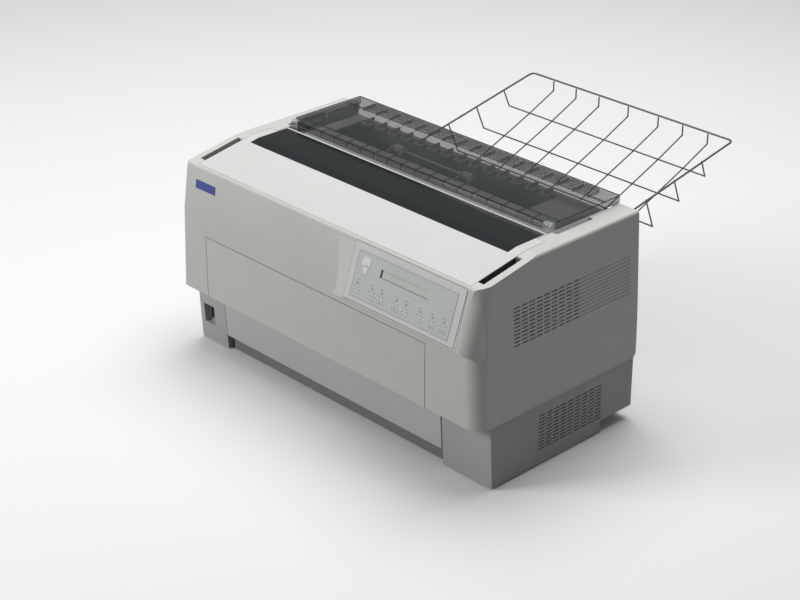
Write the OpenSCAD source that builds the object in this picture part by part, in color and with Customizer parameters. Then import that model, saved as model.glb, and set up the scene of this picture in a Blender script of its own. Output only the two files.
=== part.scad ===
// Wide office dot matrix printer, in millimetres.
// +X is the printer's right, +Y its rear and +Z up. The origin lies on the desk,
// under the middle of the outline that the printer and its wire rack cover.
// Depths are given as distances forward of the case's rear wall.

/* [Case] */
// Width of the upper case at its lower edge
case_w = 700; // [660:1:740]
// Height of the flat top above the desk
top_h = 358; // [350:1:370]
// Height of the upper case's lower edge
case_bottom = 110.5; // [106:0.5:114]
// Depth of the upper case, rear wall to front face
case_depth = 359; // [355:1:370]
// Wall of the moulded cases
wall = 3; // [2.5:0.1:3.5]
// Inward lean of the case sides, degrees
side_draft = 2.78; // [2:0.1:3.5]
// Radius of the case's front left upright corner
corner_r_left = 7; // [5:1:15]
// Radius of the case's front right upright corner
corner_r_right = 27; // [15:1:28]
// Distance from the front face back to where the top starts to slope
slope_run = 130; // [119:1:144]
// Slope of the front part of the top, degrees
top_slope = 9.8; // [8:0.1:11]
// Radius of the bow in the upper front face
front_bow = 500; // [450:10:600]
// Height at which the bow starts
bow_start = 230; // [224:1:235]
// Radius of the case's top front edge
top_edge_r = 7; // [6:0.5:9]

/* [Base] */
// How far each base side lies inside the upper case
base_inset = 2.4; // [1.5:0.1:2.8]
// Distance from the case's front face back to the base's top edge
base_setback = 27.6; // [25:0.2:34]
// Backward lean of the base front, towards the desk, degrees
base_lean = 3; // [1:0.5:4]
// Depth behind which the base is raised off the desk
base_step = 78; // [60:1:90]
// Height of the base's raised floor
base_floor = 22; // [18:1:26]
// Width of the left leg of the base
left_leg_w = 69; // [60:1:75]
// Width of the right leg of the base
right_leg_w = 103.8; // [95:1:110]
// Radius of a rubber foot
foot_r = 12; // [8:1:16]
// Height of a rubber foot below the base
foot_h = 2; // [1.5:0.5:3]

/* [Covers] */
// Width of the case rim beside the top cover
rim_w = 24.5; // [22:0.5:28]
// Distance from the case's front face back to the top cover's front edge
cover_setback = 16; // [15.5:0.5:18]
// Length of the top cover, front to rear
cover_len = 179; // [175:1:181]
// Thickness of the covers' skins
skin = 2.8; // [2.2:0.1:3.2]
// Gap round a closed cover
seam = 0.8; // [0.6:0.1:1]
// Gap round the closed front flap
flap_seam = 1.2; // [0.8:0.1:1.5]
// Length of the smoked window, front to rear
window_len = 81; // [73:1:88]
// Height of the eject cover above the top
eject_h = 13.2; // [11:0.2:15]
// Pitch of the ribs in the eject cover
rib_pitch = 32; // [24:1:40]
// Radius of the cover hinge pins
hinge_r = 3; // [2.5:0.1:3.5]
// Height of the front flap's top edge
flap_top = 219.7; // [205:0.5:222]
// Distance from the left side to the front flap
flap_left_margin = 66; // [60:1:75]
// Distance from the right side to the front flap
flap_right_margin = 115; // [105:1:125]

/* [Control panel] */
// Width of the panel bezel
panel_w = 235.5; // [220:0.5:240]
// Distance from the right side to the bezel
panel_margin = 38.3; // [36:0.1:42]
// Distance from the case's front face back to the bezel's top edge
panel_setback = 11.5; // [11:0.5:14]
// Distance from the flat top down to the bezel's top edge
panel_drop = 24.5; // [24:0.5:27]
// Height of the bezel along its face
panel_face = 91; // [86:0.5:92]
// Lean of the panel face from upright, degrees
panel_lean = 19.2; // [17:0.1:20]
// Width of a panel button
button_w = 13; // [9:0.5:15]
// Height of a panel button
button_h = 6.5; // [5:0.5:8]
// Travel of a panel button
button_travel = 1.2; // [0.8:0.1:1.5]

/* [Vents] */
// Rows in each vent
vent_rows = 11; // [7:1:11]
// Height of a vent slot
slot_h = 2.6; // [2:0.1:3]
// Pitch of the rows in the upper vent
upper_vent_pitch = 6.15; // [5.5:0.05:6.5]
// Pitch of the rows in the base vent
base_vent_pitch = 5.86; // [5.2:0.02:6]

/* [Mechanism] */
// Radius of the platen
platen_r = 17; // [14:0.5:18]
// Radius of the carriage guide shaft
guide_r = 7; // [5:0.5:8]
// Radius of the front carriage rail
rail_r = 5; // [4:0.5:6]
// Radius of the tractor shafts
tractor_shaft_r = 5; // [4:0.5:6]
// Radial clearance of every running shaft and pin
run_gap = 0.05; // [0.03:0.01:0.08]
// Pitch radius of the belt pulleys
pulley_r = 9; // [7:0.5:11]
// Module of the paper feed gears
gear_module = 1.5; // [1.3:0.1:1.6]
// Teeth of the platen gear
platen_teeth = 40; // [32:2:44]
// Teeth of the feed pinion
pinion_teeth = 16; // [14:1:18]

/* [Wire rack] */
// Reach of the rack behind the case
rack_reach = 375; // [320:1:400]
// Distance between the rack's side rails
rack_w = 461.4; // [440:1:480]
// Height at which the rails enter the rear wall
rack_z = 266; // [262:1:272]
// Upward tilt of the rails, degrees
rack_tilt = 10.8; // [8:0.1:12]
// Radius of the rail wire
rack_rail_r = 1.7; // [1.5:0.1:2.5]
// Radius of the basket wires
rack_wire_r = 1.3; // [1.1:0.1:1.6]
// Spacing of the basket's middle three wires
rack_middle_pitch = 68.4; // [60:0.2:70]
// Spacing of the basket's outer wires
rack_outer_pitch = 54.6; // [48:0.2:56]

/* [Hidden] */
$fn = 48;

// colours of the photographed finishes
light_grey = [0.85, 0.85, 0.85];
warm_grey = [0.70, 0.70, 0.69];
base_grey = [0.60, 0.61, 0.60];
smoke = [0.22, 0.24, 0.25, 0.6];
wire_grey = [0.35, 0.35, 0.34];
zinc = [0.72, 0.73, 0.74];
dark = [0.13, 0.13, 0.14];
steel = [0.62, 0.63, 0.65];

// overall places
half = case_w / 2;
break_depth = case_depth - slope_run;
base_depth = case_depth - base_setback;
cover_front = case_depth - cover_setback;
cover_rear = cover_front - cover_len;
panel_top_depth = case_depth - panel_setback;
panel_top_z = top_h - panel_drop;
eject_front = cover_rear - 7;
// the panel's lower edge rounds off below the bezel
lip_r = 4;
panel_low_z = panel_top_z - (panel_face + 2) * cos(panel_lean) - lip_r * sin(panel_lean);
lip_depth = panel_top_depth + (panel_face + 2) * sin(panel_lean) + lip_r * (1 - cos(panel_lean));
rear_y = (lip_depth - rack_reach) / 2;
side_gap = 0.3;
big = 900;

// half width of the case at a height
function half_at(z) = half - tan(side_draft) * (z - case_bottom);
function fwd(depth) = rear_y - depth;
// height of the top surface at a depth
function top_z(depth) = depth <= break_depth ? top_h : top_h - (depth - break_depth) * tan(top_slope);
function arc(cx, cy, r, a0, a1, n) =
    [for (i = [0 : n]) let (a = a0 + (a1 - a0) * i / n) [cx + r * cos(a), cy + r * sin(a)]];

cover_half = half_at(top_h) - rim_w;
neck_half = cover_half - 16;
neck_depth = cover_rear + 23;
frame_outer = neck_half - 11;
frame_t = 3;

// box between two X, two depths and two heights
module box(x0, x1, d0, d1, z0, z1) {
    translate([x0, fwd(d1), z0]) cube([x1 - x0, d1 - d0, z1 - z0]);
}
// prism along X with its outline in depth and height
module side_prism(points, x0, x1) {
    translate([x0, 0, 0]) rotate([90, 0, 90]) linear_extrude(x1 - x0)
        polygon([for (p = points) [fwd(p[0]), p[1]]]);
}
// round bar along X at a depth and a height
module bar(x0, x1, depth, z, r) {
    translate([x0, fwd(depth), z]) rotate([0, 90, 0]) cylinder(r = r, h = x1 - x0);
}
// angle that a row of points turns through at one of them
function turn_at(points, i) = let (a = points[i] - points[i - 1], b = points[i + 1] - points[i])
    acos(min(1, a * b / norm(a) / norm(b)));
// round wire along a row of points, each piece run on a little past its bends
module bent_wire(points, r, sides = 24) {
    last = len(points) - 2;
    for (i = [0 : last]) {
        v = points[i + 1] - points[i];
        before = i > 0 ? r * min(0.6, tan(turn_at(points, i) / 2) + 0.05) : 0;
        after = i < last ? r * min(0.6, tan(turn_at(points, i + 1) / 2) + 0.05) : 0;
        translate(points[i] - before * v / norm(v)) rotate([0, acos(v[2] / norm(v)), atan2(v[1], v[0])])
            cylinder(r = r, h = norm(v) + before + after, $fn = sides);
    }
}

// ---- upper case ----
bow_depth = case_depth - front_bow;
bow_end = asin((top_h + break_depth * tan(top_slope) - top_edge_r / cos(top_slope) - bow_start
    - bow_depth * tan(top_slope)) * cos(top_slope) / (front_bow - top_edge_r)) - top_slope;
edge_depth = bow_depth + (front_bow - top_edge_r) * cos(bow_end);
edge_z = bow_start + (front_bow - top_edge_r) * sin(bow_end);
rear_chamfer = 8;
side_edge_r = 5;
rear_corner_r = 5;

// side outline of the case, moved inwards by t, with a floor at z0
function case_side(t, z0) = concat(
    [[case_depth - t, z0]],
    arc(bow_depth, bow_start, front_bow - t, 0, bow_end, 8),
    arc(edge_depth, edge_z, top_edge_r - t, bow_end, 90 - top_slope, 6),
    [[break_depth - t * tan(top_slope / 2), top_h - t], [t, top_h - t],
     [t, case_bottom + rear_chamfer], [t + rear_chamfer, z0]]);
// front outline of the case, moved inwards by t
function case_front(t, z0) = let (r = side_edge_r - t * 0.8, zc = top_h - t - r, xc = half_at(zc) - t - r)
    concat([[half_at(z0) - t, z0]], arc(xc, zc, r, 0, 90, 5), arc(-xc, zc, r, 90, 180, 5),
    [[-half_at(z0) + t, z0]]);
// plan outline of the case, moved inwards by t, with square front corners
function case_plan(t) = let (x = half - t, f = fwd(case_depth - t), b = fwd(t), rb = max(rear_corner_r - t, 1))
    concat([[-x, f], [x, f]], arc(x - rb, b - rb, rb, 0, 90, 4), arc(-x + rb, b - rb, rb, 90, 180, 4));
// what rounding takes off the right front corner moved inwards by t: it leans in with the side, and leans back
// by an angle from a line on the front at a depth and a height
module corner_off(t, r, depth, z, back) {
    inner_r = max(r - t, 1);
    translate([half, 0, case_bottom]) rotate([0, -side_draft, 0]) translate([-half, fwd(depth), z - case_bottom])
        rotate([-back, 0, 0]) translate([0, 0, -top_h]) linear_extrude(2 * top_h)
        polygon(concat(arc(half - t - inner_r, t + inner_r, inner_r, 270, 360, 10),
            [[half + 40, t + inner_r], [half + 40, -60], [half - t - inner_r, -60]]));
}
module case_body(t, z0) {
    lean = bow_end / 2;
    belly = front_bow * (1 - cos(lean));
    difference() {
        intersection() {
            side_prism(case_side(t, z0), -half, half);
            translate([0, fwd(-50), 0]) rotate([90, 0, 0]) linear_extrude(case_depth + 100)
                polygon(case_front(t, z0));
            translate([0, 0, z0 - 1]) linear_extrude(top_h) polygon(case_plan(t));
        }
        // upright below the bow, and leaning back with it above; each starts a touch outside the faces
        for (p = [[0, 0, 0.06], [lean, belly, 0.05]]) {
            corner_off(t - p[2], corner_r_right, case_depth + p[1], bow_start, p[0]);
            mirror([1, 0, 0]) corner_off(t - p[2], corner_r_left, case_depth + p[1], bow_start, p[0]);
        }
    }
}

// ---- swelling that carries the control panel ----
panel_x1 = half - panel_margin;
panel_x0 = panel_x1 - panel_w;
runout_w = 50;
runout_steps = 10;
surround = 3;
lip_drop = 6;
flap_head = flap_top + 10;
bulge_wall = 5;
// side outline of the swelling, moved inwards by t
function bulge_side(t) = let (a = panel_lean, top = panel_top_z + 1, low_z = panel_low_z)
    concat([[case_depth - 18 - t, top - t], [panel_top_depth - tan(a) - t / cos(a), top - t]],
    arc(lip_depth - lip_r, panel_low_z, lip_r - min(t, lip_r - 0.5), a, 0, 2),
    arc(lip_depth - lip_r, panel_low_z, lip_r - min(t, lip_r - 0.5), -15, -60, 3),
    [[lip_depth - 9 - t, low_z - lip_drop + t], [case_depth - 1 - t, flap_head - 2 + t],
     [case_depth - 18 - t, flap_head - 2 + t]]);
module bulge(t) {
    x0 = panel_x0 - surround;
    difference() {
        intersection() {
            side_prism(bulge_side(t), t == 0 ? x0 - runout_w : x0 + t, half);
            translate([0, fwd(-50), 0]) rotate([90, 0, 0]) linear_extrude(case_depth + 100)
                polygon(case_front(t, case_bottom));
            // the left end runs out into the front face
            translate([0, fwd(case_depth), bow_start])
                rotate([-atan(panel_setback / (panel_top_z - bow_start)), 0, 0])
                translate([0, 0, -60]) linear_extrude(220) polygon(concat(
                    [for (i = [0 : runout_steps]) [x0 - runout_w * (1 - i / runout_steps),
                        0.4 - (lip_depth - case_depth + 3) * pow(i / runout_steps, 2)]],
                    [[x0, -60], [half, -60], [half, 60], [x0 - runout_w, 60]]));
        }
        corner_off(t - 0.04, corner_r_right, panel_top_depth, panel_top_z, panel_lean);
    }
}
// places children on the panel face: X right, Y down from its top edge is negative, Z out
module on_panel() {
    translate([panel_x0, fwd(panel_top_depth), panel_top_z]) rotate([90 - panel_lean, 0, 0]) children();
}
bezel_t = 2.4;

// ---- front flap place ----
flap_x0 = -half + flap_left_margin;
flap_x1 = half - flap_right_margin;
flap_pin_r = 2.5;
flap_pin_depth = case_depth - 8;
flap_pin_z = case_bottom + 6.5;
cheek_t = 3;

// ---- cover hinges ----
skirt_t = 3;
cover_pin_depth = cover_rear + 4;
pin_z = top_h - 8;
eject_pin_depth = 8;
skirt_low = top_h - 20;
pocket_w = 12.5;
grip_w = 11;
grip_d1 = eject_front - 2;
grip_d0 = grip_d1 - 82;
pocket_d1 = cover_front - 13;
pocket_d0 = pocket_d1 - 82;
pocket_h = 18;

// ---- vents ----
vent_d0 = 19;
vent_groove_d1 = 137.4;
vent_d1 = 284.2;
vent_z = 227.3;
base_vent_d0 = 79.7;
base_vent_d1 = 231;
base_vent_z = 28.9;
slot_pitch = 16.3;
slot_gap = 3;
module vent_slots(d0, d1, z0, pitch, x0, x1) {
    count = floor((d1 - d0 + slot_gap) / slot_pitch);
    for (row = [0 : vent_rows - 1], i = [0 : count - 1])
        box(x0, x1, d0 + i * slot_pitch, d0 + (i + 1) * slot_pitch - slot_gap,
            z0 + row * pitch - slot_h / 2, z0 + row * pitch + slot_h / 2);
}
module vent_grooves(d0, d1, z0, pitch, depth) {
    for (row = [0 : vent_rows - 1])
        let (z = z0 + row * pitch)
        box(half_at(z) - depth, half, d0, d1, z - slot_h / 2, z + slot_h / 2);
}

// ---- rear wall ----
rear_sill = top_h - 28;
rear_cover_half = 280;
rear_cover_low = 128;
rear_cover_high = 244;
rear_pin_depth = 6;
rear_pin_r = 2.5;
rear_pin_z = rear_cover_low + 5.6;
socket_len = 32;
socket_r = 7;
module on_rail(x) {
    translate([x, fwd(0), rack_z]) rotate([rack_tilt, 0, 0]) rotate([-90, 0, 0]) children();
}

module upper_case() color(warm_grey) difference() {
    union() {
        difference() {
            union() {
                case_body(0, case_bottom);
                bulge(0);
            }
            case_body(wall, case_bottom - 5);
            bulge(bulge_wall);
            // opening for the top cover, with its narrower neck
            box(-cover_half - seam, cover_half + seam, neck_depth, cover_front + seam, 300, top_h + 5);
            box(-neck_half - seam, neck_half + seam, -5, neck_depth + 1, rear_sill, top_h + 5);
            // front flap
            box(flap_x0 - flap_seam, flap_x1 + flap_seam, case_depth - 20, case_depth + 5,
                case_bottom - 5, flap_top + flap_seam);
            // rear cover
            box(-rear_cover_half - seam, rear_cover_half + seam, -5, wall + 2,
                rear_cover_low - seam, rear_cover_high + seam);
            vent_slots(vent_groove_d1, vent_d1, vent_z, upper_vent_pitch, half - 30, half);
            vent_grooves(vent_d0, vent_groove_d1, vent_z, upper_vent_pitch, 1);
            // finger pockets beside the covers
            for (s = [-1, 1]) {
                box(min(s * cover_half, s * (cover_half + pocket_w)), max(s * cover_half, s * (cover_half + pocket_w)),
                    pocket_d0, pocket_d1, 300, top_h + 5);
                box(min(s * neck_half, s * (neck_half + grip_w)), max(s * neck_half, s * (neck_half + grip_w)),
                    grip_d0, grip_d1, 300, top_h + 5);
            }
            // bezel seat and the opening behind it
            on_panel() translate([-seam, -panel_face - seam, -bezel_t])
                cube([panel_w + 2 * seam, panel_face + 2 * seam, 20]);
            on_panel() translate([8, 4 - panel_face, -30]) cube([panel_w - 16, panel_face - 12, 40]);
        }
        intersection() {
            case_body(0.5, case_bottom);
            union() {
                for (s = [0, 1]) mirror([s, 0, 0]) {
                    // skirt that carries the cover hinges
                    difference() {
                        box(neck_half + seam, neck_half + seam + skirt_t, wall - 1, neck_depth,
                            skirt_low, top_h - 1);
                        box(neck_half, neck_half + grip_w, grip_d0, grip_d1, top_h - pocket_h, top_h);
                    }
                    box(neck_half + seam, cover_half + seam + wall, neck_depth - skirt_t, neck_depth,
                        skirt_low, top_h - 1);
                    // grip pocket beside the eject cover
                    box(neck_half + seam + 1, neck_half + grip_w + 2, grip_d0 - 2, grip_d1 + 2,
                        top_h - pocket_h - 2, top_h - pocket_h);
                    box(neck_half + grip_w, neck_half + grip_w + 2, grip_d0 - 2, grip_d1 + 2,
                        top_h - pocket_h - 1, top_h - 1);
                    for (d = [grip_d0 - 2, grip_d1])
                        box(neck_half + seam + 1, neck_half + grip_w + 1, d, d + 2, top_h - pocket_h - 1, top_h - 1);
                    // finger pocket beside the top cover
                    side_prism([[pocket_d0 - 2, top_z(pocket_d0) - pocket_h - 2], [pocket_d1 + 2, top_z(pocket_d1) - pocket_h - 2],
                        [pocket_d1 + 2, top_z(pocket_d1) - pocket_h], [pocket_d0 - 2, top_z(pocket_d0) - pocket_h]],
                        cover_half + seam, cover_half + pocket_w + 1);
                    side_prism([[pocket_d0 - 2, top_z(pocket_d0) - pocket_h - 2], [pocket_d1 + 2, top_z(pocket_d1) - pocket_h - 2],
                        [pocket_d1 + 2, top_z(pocket_d1) - 1], [pocket_d0 - 2, top_z(pocket_d0) - 1]],
                        cover_half + pocket_w, cover_half + pocket_w + 2);
                }
                // cheeks that carry the front flap
                for (x = [flap_x0 - flap_seam - cheek_t, flap_x1 + flap_seam])
                    box(x, x + cheek_t, base_depth + 3, case_depth - 1, case_bottom, flap_top + 8);
                // header above the flap
                box(flap_x0 - flap_seam - cheek_t, flap_x1 + flap_seam + cheek_t, case_depth - 16, case_depth - 2,
                    flap_top + flap_seam, flap_top + flap_seam + 3);
                // flange that rests on the base
                box(-half + wall, half - wall, base_depth - 3, base_depth + 6, case_bottom, case_bottom + 3);
                box(-half + 2, flap_x0 - flap_seam - cheek_t, base_depth - 3, case_depth - 1, case_bottom, case_bottom + 3);
                box(flap_x1 + flap_seam + cheek_t, half - 2, base_depth - 3, case_depth - 1, case_bottom, case_bottom + 3);
                // ears that carry the rear cover
                for (s = [-1, 1])
                    translate([s * (rear_cover_half + seam + cheek_t / 2), 0, 0])
                        box(-cheek_t / 2, cheek_t / 2, 1, 14, rear_cover_low - 4, rear_cover_low + 20);
                // sockets for the wire rack
                for (s = [-1, 1]) intersection() {
                    on_rail(s * rack_w / 2) translate([0, 0, -socket_len]) cylinder(r = socket_r, h = socket_len + 10);
                    box(-half, half, 0, 60, 100, top_h);
                }
            }
        }
    }
    for (s = [-1, 1]) {
        on_rail(s * rack_w / 2) translate([0, 0, 2 - socket_len]) cylinder(r = rack_rail_r + run_gap, h = socket_len + 20);
        translate([s * (neck_half + seam + skirt_t / 2), 0, 0]) {
            bar(-skirt_t, skirt_t, cover_pin_depth, pin_z, hinge_r + run_gap);
            bar(-skirt_t, skirt_t, eject_pin_depth, pin_z, hinge_r + run_gap);
        }
        translate([s * (rear_cover_half + seam + cheek_t / 2), 0, 0])
            bar(-cheek_t, cheek_t, rear_pin_depth, rear_pin_z, rear_pin_r + run_gap);
    }
    for (x = [flap_x0 - flap_seam - cheek_t / 2, flap_x1 + flap_seam + cheek_t / 2])
        bar(x - cheek_t, x + cheek_t, flap_pin_depth, flap_pin_z, flap_pin_r + run_gap);
}

// ---- base ----
base_half = half - base_inset;
leg_l = -base_half + left_leg_w;
leg_r = base_half - right_leg_w;
base_rear = 5.3;
panel_low = 27.3;
lower_panel_t = 2.5;
foot_sink = 2;
function base_front(z) = base_depth - tan(base_lean) * (case_bottom - z);
switch_x0 = -base_half + 10.5;
switch_x1 = switch_x0 + 27;
switch_z0 = 33;
switch_z1 = 69;
switch_sink = 11;
inlet_x = -280;
ports_x0 = 60;
ports_x1 = 210;
ports_z0 = 42;
ports_z1 = 92;

// side outline of the base moved inwards by t
function base_side(t, floor_z, top) = [[base_front(floor_z) - t, floor_z], [base_front(top) - t, top],
    [base_rear + t, top], [base_rear + t, floor_z]];
foot_places = [for (x = [(-base_half + leg_l) / 2, (base_half + leg_r) / 2], d = [base_step + 22, base_depth - 32]) [x, d]];

module base_case() color(base_grey) difference() {
    union() {
        difference() {
            union() {
                side_prism(base_side(0, base_floor, case_bottom), -base_half, base_half);
                for (x = [[-base_half, leg_l], [leg_r, base_half]])
                    side_prism([[base_front(foot_h), foot_h], [base_front(base_floor + 1), base_floor + 1],
                        [base_step, base_floor + 1], [base_step, foot_h]], x[0], x[1]);
            }
            side_prism(base_side(wall, base_floor + wall, case_bottom + 5), -base_half + wall, base_half - wall);
            for (x = [[wall - base_half, -frame_outer - 3], [frame_outer + 3, base_half - wall]])
                side_prism([[base_front(foot_h + wall) - wall, foot_h + wall], [base_front(base_floor + wall + 1) - wall, base_floor + wall + 1],
                    [base_step + wall, base_floor + wall + 1], [base_step + wall, foot_h + wall]], x[0], x[1]);
            // pocket under the wide right leg
            box(leg_r + wall, leg_r + 36, base_step + wall, base_depth - 8, -1, base_floor);
            // mouth between the legs
            box(leg_l, leg_r, base_depth - 15.4, base_depth + 5, -1, case_bottom + 5);
            vent_slots(base_vent_d0, base_vent_d1, base_vent_z, base_vent_pitch, base_half - wall - 1, base_half + 1);
            box(inlet_x - 24, inlet_x + 24, -5, base_rear + wall + 1, 45, 81);
            box(ports_x0, ports_x1, -5, base_rear + wall + 1, ports_z0, ports_z1);
        }
        // cheeks at the mouth, with the ledges that back the lower front panel
        for (x = [leg_l - wall, leg_r])
            side_prism([[base_front(foot_h) - 2, foot_h], [base_front(case_bottom) - 2, case_bottom - 3],
                [base_depth - 60, case_bottom - 3], [base_depth - 60, foot_h]], x, x + wall);
        for (x = [leg_l - 1, leg_r - 7])
            side_prism([[base_front(panel_low) - lower_panel_t, panel_low], [base_front(case_bottom - 3) - lower_panel_t, case_bottom - 3],
                [base_front(case_bottom - 3) - lower_panel_t - 3, case_bottom - 3], [base_front(panel_low) - lower_panel_t - 3, panel_low]],
                x, x + 8);
        // well of the power switch
        difference() {
            box(switch_x0 - 2, switch_x1 + 2, base_depth - 24, base_front(switch_z0 - 2) - 1, switch_z0 - 2, switch_z1 + 2);
            box(switch_x0, switch_x1, base_front(switch_z0) - switch_sink, base_depth + 1, switch_z0, switch_z1);
        }
        // fan ledge and board pillars
        box(300, base_half - 1, 120, 190, base_floor, base_floor + wall + 1);
        for (p = board_pillars) translate([p[0], fwd(p[1]), base_floor + 1]) cylinder(r = 4, h = board_z - base_floor - 1);
    }
    box(switch_x0, switch_x1, base_front(switch_z0) - switch_sink, base_depth + 5, switch_z0, switch_z1);
    box(switch_x0 + 4, switch_x1 - 4, base_depth - 40, base_depth - 5, switch_z0 + 5, switch_z1 - 5);
    bar(switch_x0 + 1.5, switch_x1 - 1.5, rocker_depth, rocker_z, rocker_pin_r + run_gap);
    for (p = foot_places) translate([p[0], fwd(p[1]), foot_h - 1]) cylinder(r = foot_r + side_gap, h = foot_sink + 1);
}
module lower_front_panel() color(base_grey)
    side_prism([[base_front(panel_low), panel_low], [base_front(case_bottom - 2.5), case_bottom - 2.5],
        [base_front(case_bottom - 2.5) - lower_panel_t, case_bottom - 2.5], [base_front(panel_low) - lower_panel_t, panel_low]],
        leg_l + seam, leg_r - 3);
module lower_paper_guide() color(base_grey) {
    guide_d = base_depth - 15.4;
    difference() {
        union() {
            box(leg_l + 9, leg_r - 8, guide_d, guide_d + 3, 2.7, 62);
            side_prism([[guide_d + 3, 58], [guide_d + 3, 62], [guide_d - 14, 74], [guide_d - 14, 70]], leg_l + 9, leg_r - 8);
        }
        for (i = [0 : 7]) box(leg_l + 38 + i * 60, leg_l + 64 + i * 60, guide_d - 1, guide_d + 4, 36, 46);
    }
}
module rubber_feet() color(dark)
    for (p = foot_places) translate([p[0], fwd(p[1]), 0]) cylinder(r = foot_r, h = foot_h + foot_sink);
// the rocker tips about its middle, a little behind its faces
rocker_tilt = 7;
rocker_x = (switch_x0 + switch_x1) / 2;
rocker_z = (switch_z0 + switch_z1) / 2;
rocker_depth = base_front(switch_z0) - switch_sink - 3;
rocker_half = (switch_z1 - switch_z0) / 2 - 6;
rocker_pin_r = 1.5;
module power_rocker() color(dark) {
    translate([0, fwd(rocker_depth), rocker_z]) rotate([rocker_tilt, 0, 0]) translate([0, -fwd(rocker_depth), -rocker_z])
        side_prism([[rocker_depth + 4, rocker_z + rocker_half], [rocker_depth + 2, rocker_z],
            [rocker_depth + 4, rocker_z - rocker_half], [rocker_depth, rocker_z - rocker_half],
            [rocker_depth - 8, rocker_z - 4], [rocker_depth - 8, rocker_z + 4], [rocker_depth, rocker_z + rocker_half]],
            switch_x0 + 4 + side_gap, switch_x1 - 4 - side_gap);
    bar(switch_x0 + 2, switch_x1 - 2, rocker_depth, rocker_z, rocker_pin_r);
}
module power_inlet() color(dark) difference() {
    box(inlet_x - 24, inlet_x + 24, base_rear - 1.5, base_rear + 24, 45, 81);
    box(inlet_x - 12, inlet_x + 12, -5, base_rear + 18, 54, 72);
}
module interface_ports() {
    color(zinc) difference() {
        box(ports_x0, ports_x1, base_rear, base_rear + 2, ports_z0, ports_z1);
        box(ports_x0 + 10, ports_x0 + 72, -5, base_rear + 5, 62, 74);
        box(ports_x0 + 86, ports_x0 + 126, -5, base_rear + 5, 62, 74);
        box(ports_x0 + 132, ports_x0 + 145, -5, base_rear + 5, 60, 72);
    }
    color(dark) {
        difference() {
            box(ports_x0 + 10, ports_x0 + 72, base_rear - 3, base_rear + 14, 62, 74);
            box(ports_x0 + 14, ports_x0 + 68, base_rear - 4, base_rear + 6, 65, 71);
        }
        difference() {
            box(ports_x0 + 86, ports_x0 + 126, base_rear - 3, base_rear + 14, 62, 74);
            box(ports_x0 + 90, ports_x0 + 122, base_rear - 4, base_rear + 6, 65, 71);
        }
        difference() {
            box(ports_x0 + 132, ports_x0 + 145, base_rear - 1, base_rear + 14, 60, 72);
            box(ports_x0 + 134.5, ports_x0 + 142.5, base_rear - 2, base_rear + 10, 62, 70);
        }
    }
}

// ---- control panel ----
overlay_x0 = 11;
overlay_x1 = panel_w - 13;
overlay_y0 = -11;
overlay_y1 = -panel_face + 6.5;
overlay_t = 0.8;
lcd_x0 = 64;
lcd_x1 = 166;
lcd_y0 = -39.5;
lcd_h = 13;
lamp_y = -61;
button_y = -75;
button_x = [23, 55, 76, 108, 129, 158, 184, 208];
lamp_r = 1.3;
button_depth = 5;
module panel_bezel() color(light_grey) on_panel() difference() {
    union() {
        translate([0, -panel_face, -bezel_t]) cube([panel_w, panel_face, bezel_t + 0.6]);
        // case behind the face, which holds the display board
        translate([overlay_x0, overlay_y1, -12]) cube([overlay_x1 - overlay_x0, overlay_y0 - overlay_y1, 11]);
    }
    translate([overlay_x0, overlay_y1, 0]) cube([overlay_x1 - overlay_x0, overlay_y0 - overlay_y1, 2]);
    translate([overlay_x0 + 2, overlay_y1 + 2, -13]) cube([overlay_x1 - overlay_x0 - 4, overlay_y0 - overlay_y1 - 4, 10]);
    translate([lcd_x0, lcd_y0, -5]) cube([lcd_x1 - lcd_x0, lcd_h, 10]);
    for (x = button_x) {
        translate([x - button_w / 2 - side_gap, button_y - button_h / 2 - side_gap, -5])
            cube([button_w + 2 * side_gap, button_h + 2 * side_gap, 10]);
        translate([x, lamp_y, -5]) cylinder(r = lamp_r + side_gap, h = 10, $fn = 24);
    }
}
module panel_overlay() color([0.70, 0.73, 0.74]) on_panel() difference() {
    translate([overlay_x0 + side_gap, overlay_y1 + side_gap, 0])
        cube([overlay_x1 - overlay_x0 - 2 * side_gap, overlay_y0 - overlay_y1 - 2 * side_gap, overlay_t]);
    translate([lcd_x0, lcd_y0, -1]) cube([lcd_x1 - lcd_x0, lcd_h, 5]);
    for (x = button_x) {
        translate([x - button_w / 2 - side_gap, button_y - button_h / 2 - side_gap, -5])
            cube([button_w + 2 * side_gap, button_h + 2 * side_gap, 10]);
        translate([x, lamp_y, -5]) cylinder(r = lamp_r + side_gap, h = 10, $fn = 24);
    }
}
module lcd_display() color([0.66, 0.72, 0.66]) on_panel() {
    translate([lcd_x0 + side_gap, lcd_y0 + side_gap, -4]) cube([lcd_x1 - lcd_x0 - 2 * side_gap, lcd_h - 2 * side_gap, 4]);
    translate([lcd_x0 - 6, lcd_y0 - 6, -8]) cube([lcd_x1 - lcd_x0 + 12, lcd_h + 12, 5]);
}
module status_lamps() color([0.45, 0.62, 0.40]) on_panel()
    for (x = button_x) translate([x, lamp_y, -3]) {
        cylinder(r = lamp_r, h = 4, $fn = 24);
        translate([0, 0, -2]) cylinder(r = lamp_r + 1, h = 2, $fn = 24);
    }
module panel_button(i) color(light_grey) on_panel() translate([button_x[i], button_y, 0]) {
    translate([-button_w / 2, -button_h / 2, -button_depth + 1]) cube([button_w, button_h, button_depth]);
    // flange that keeps the button behind the face
    translate([-button_w / 2 - 1.5, -button_h / 2 - 1.2, -button_depth - 0.3]) cube([button_w + 3, button_h + 2.4, 1.9]);
}

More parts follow.
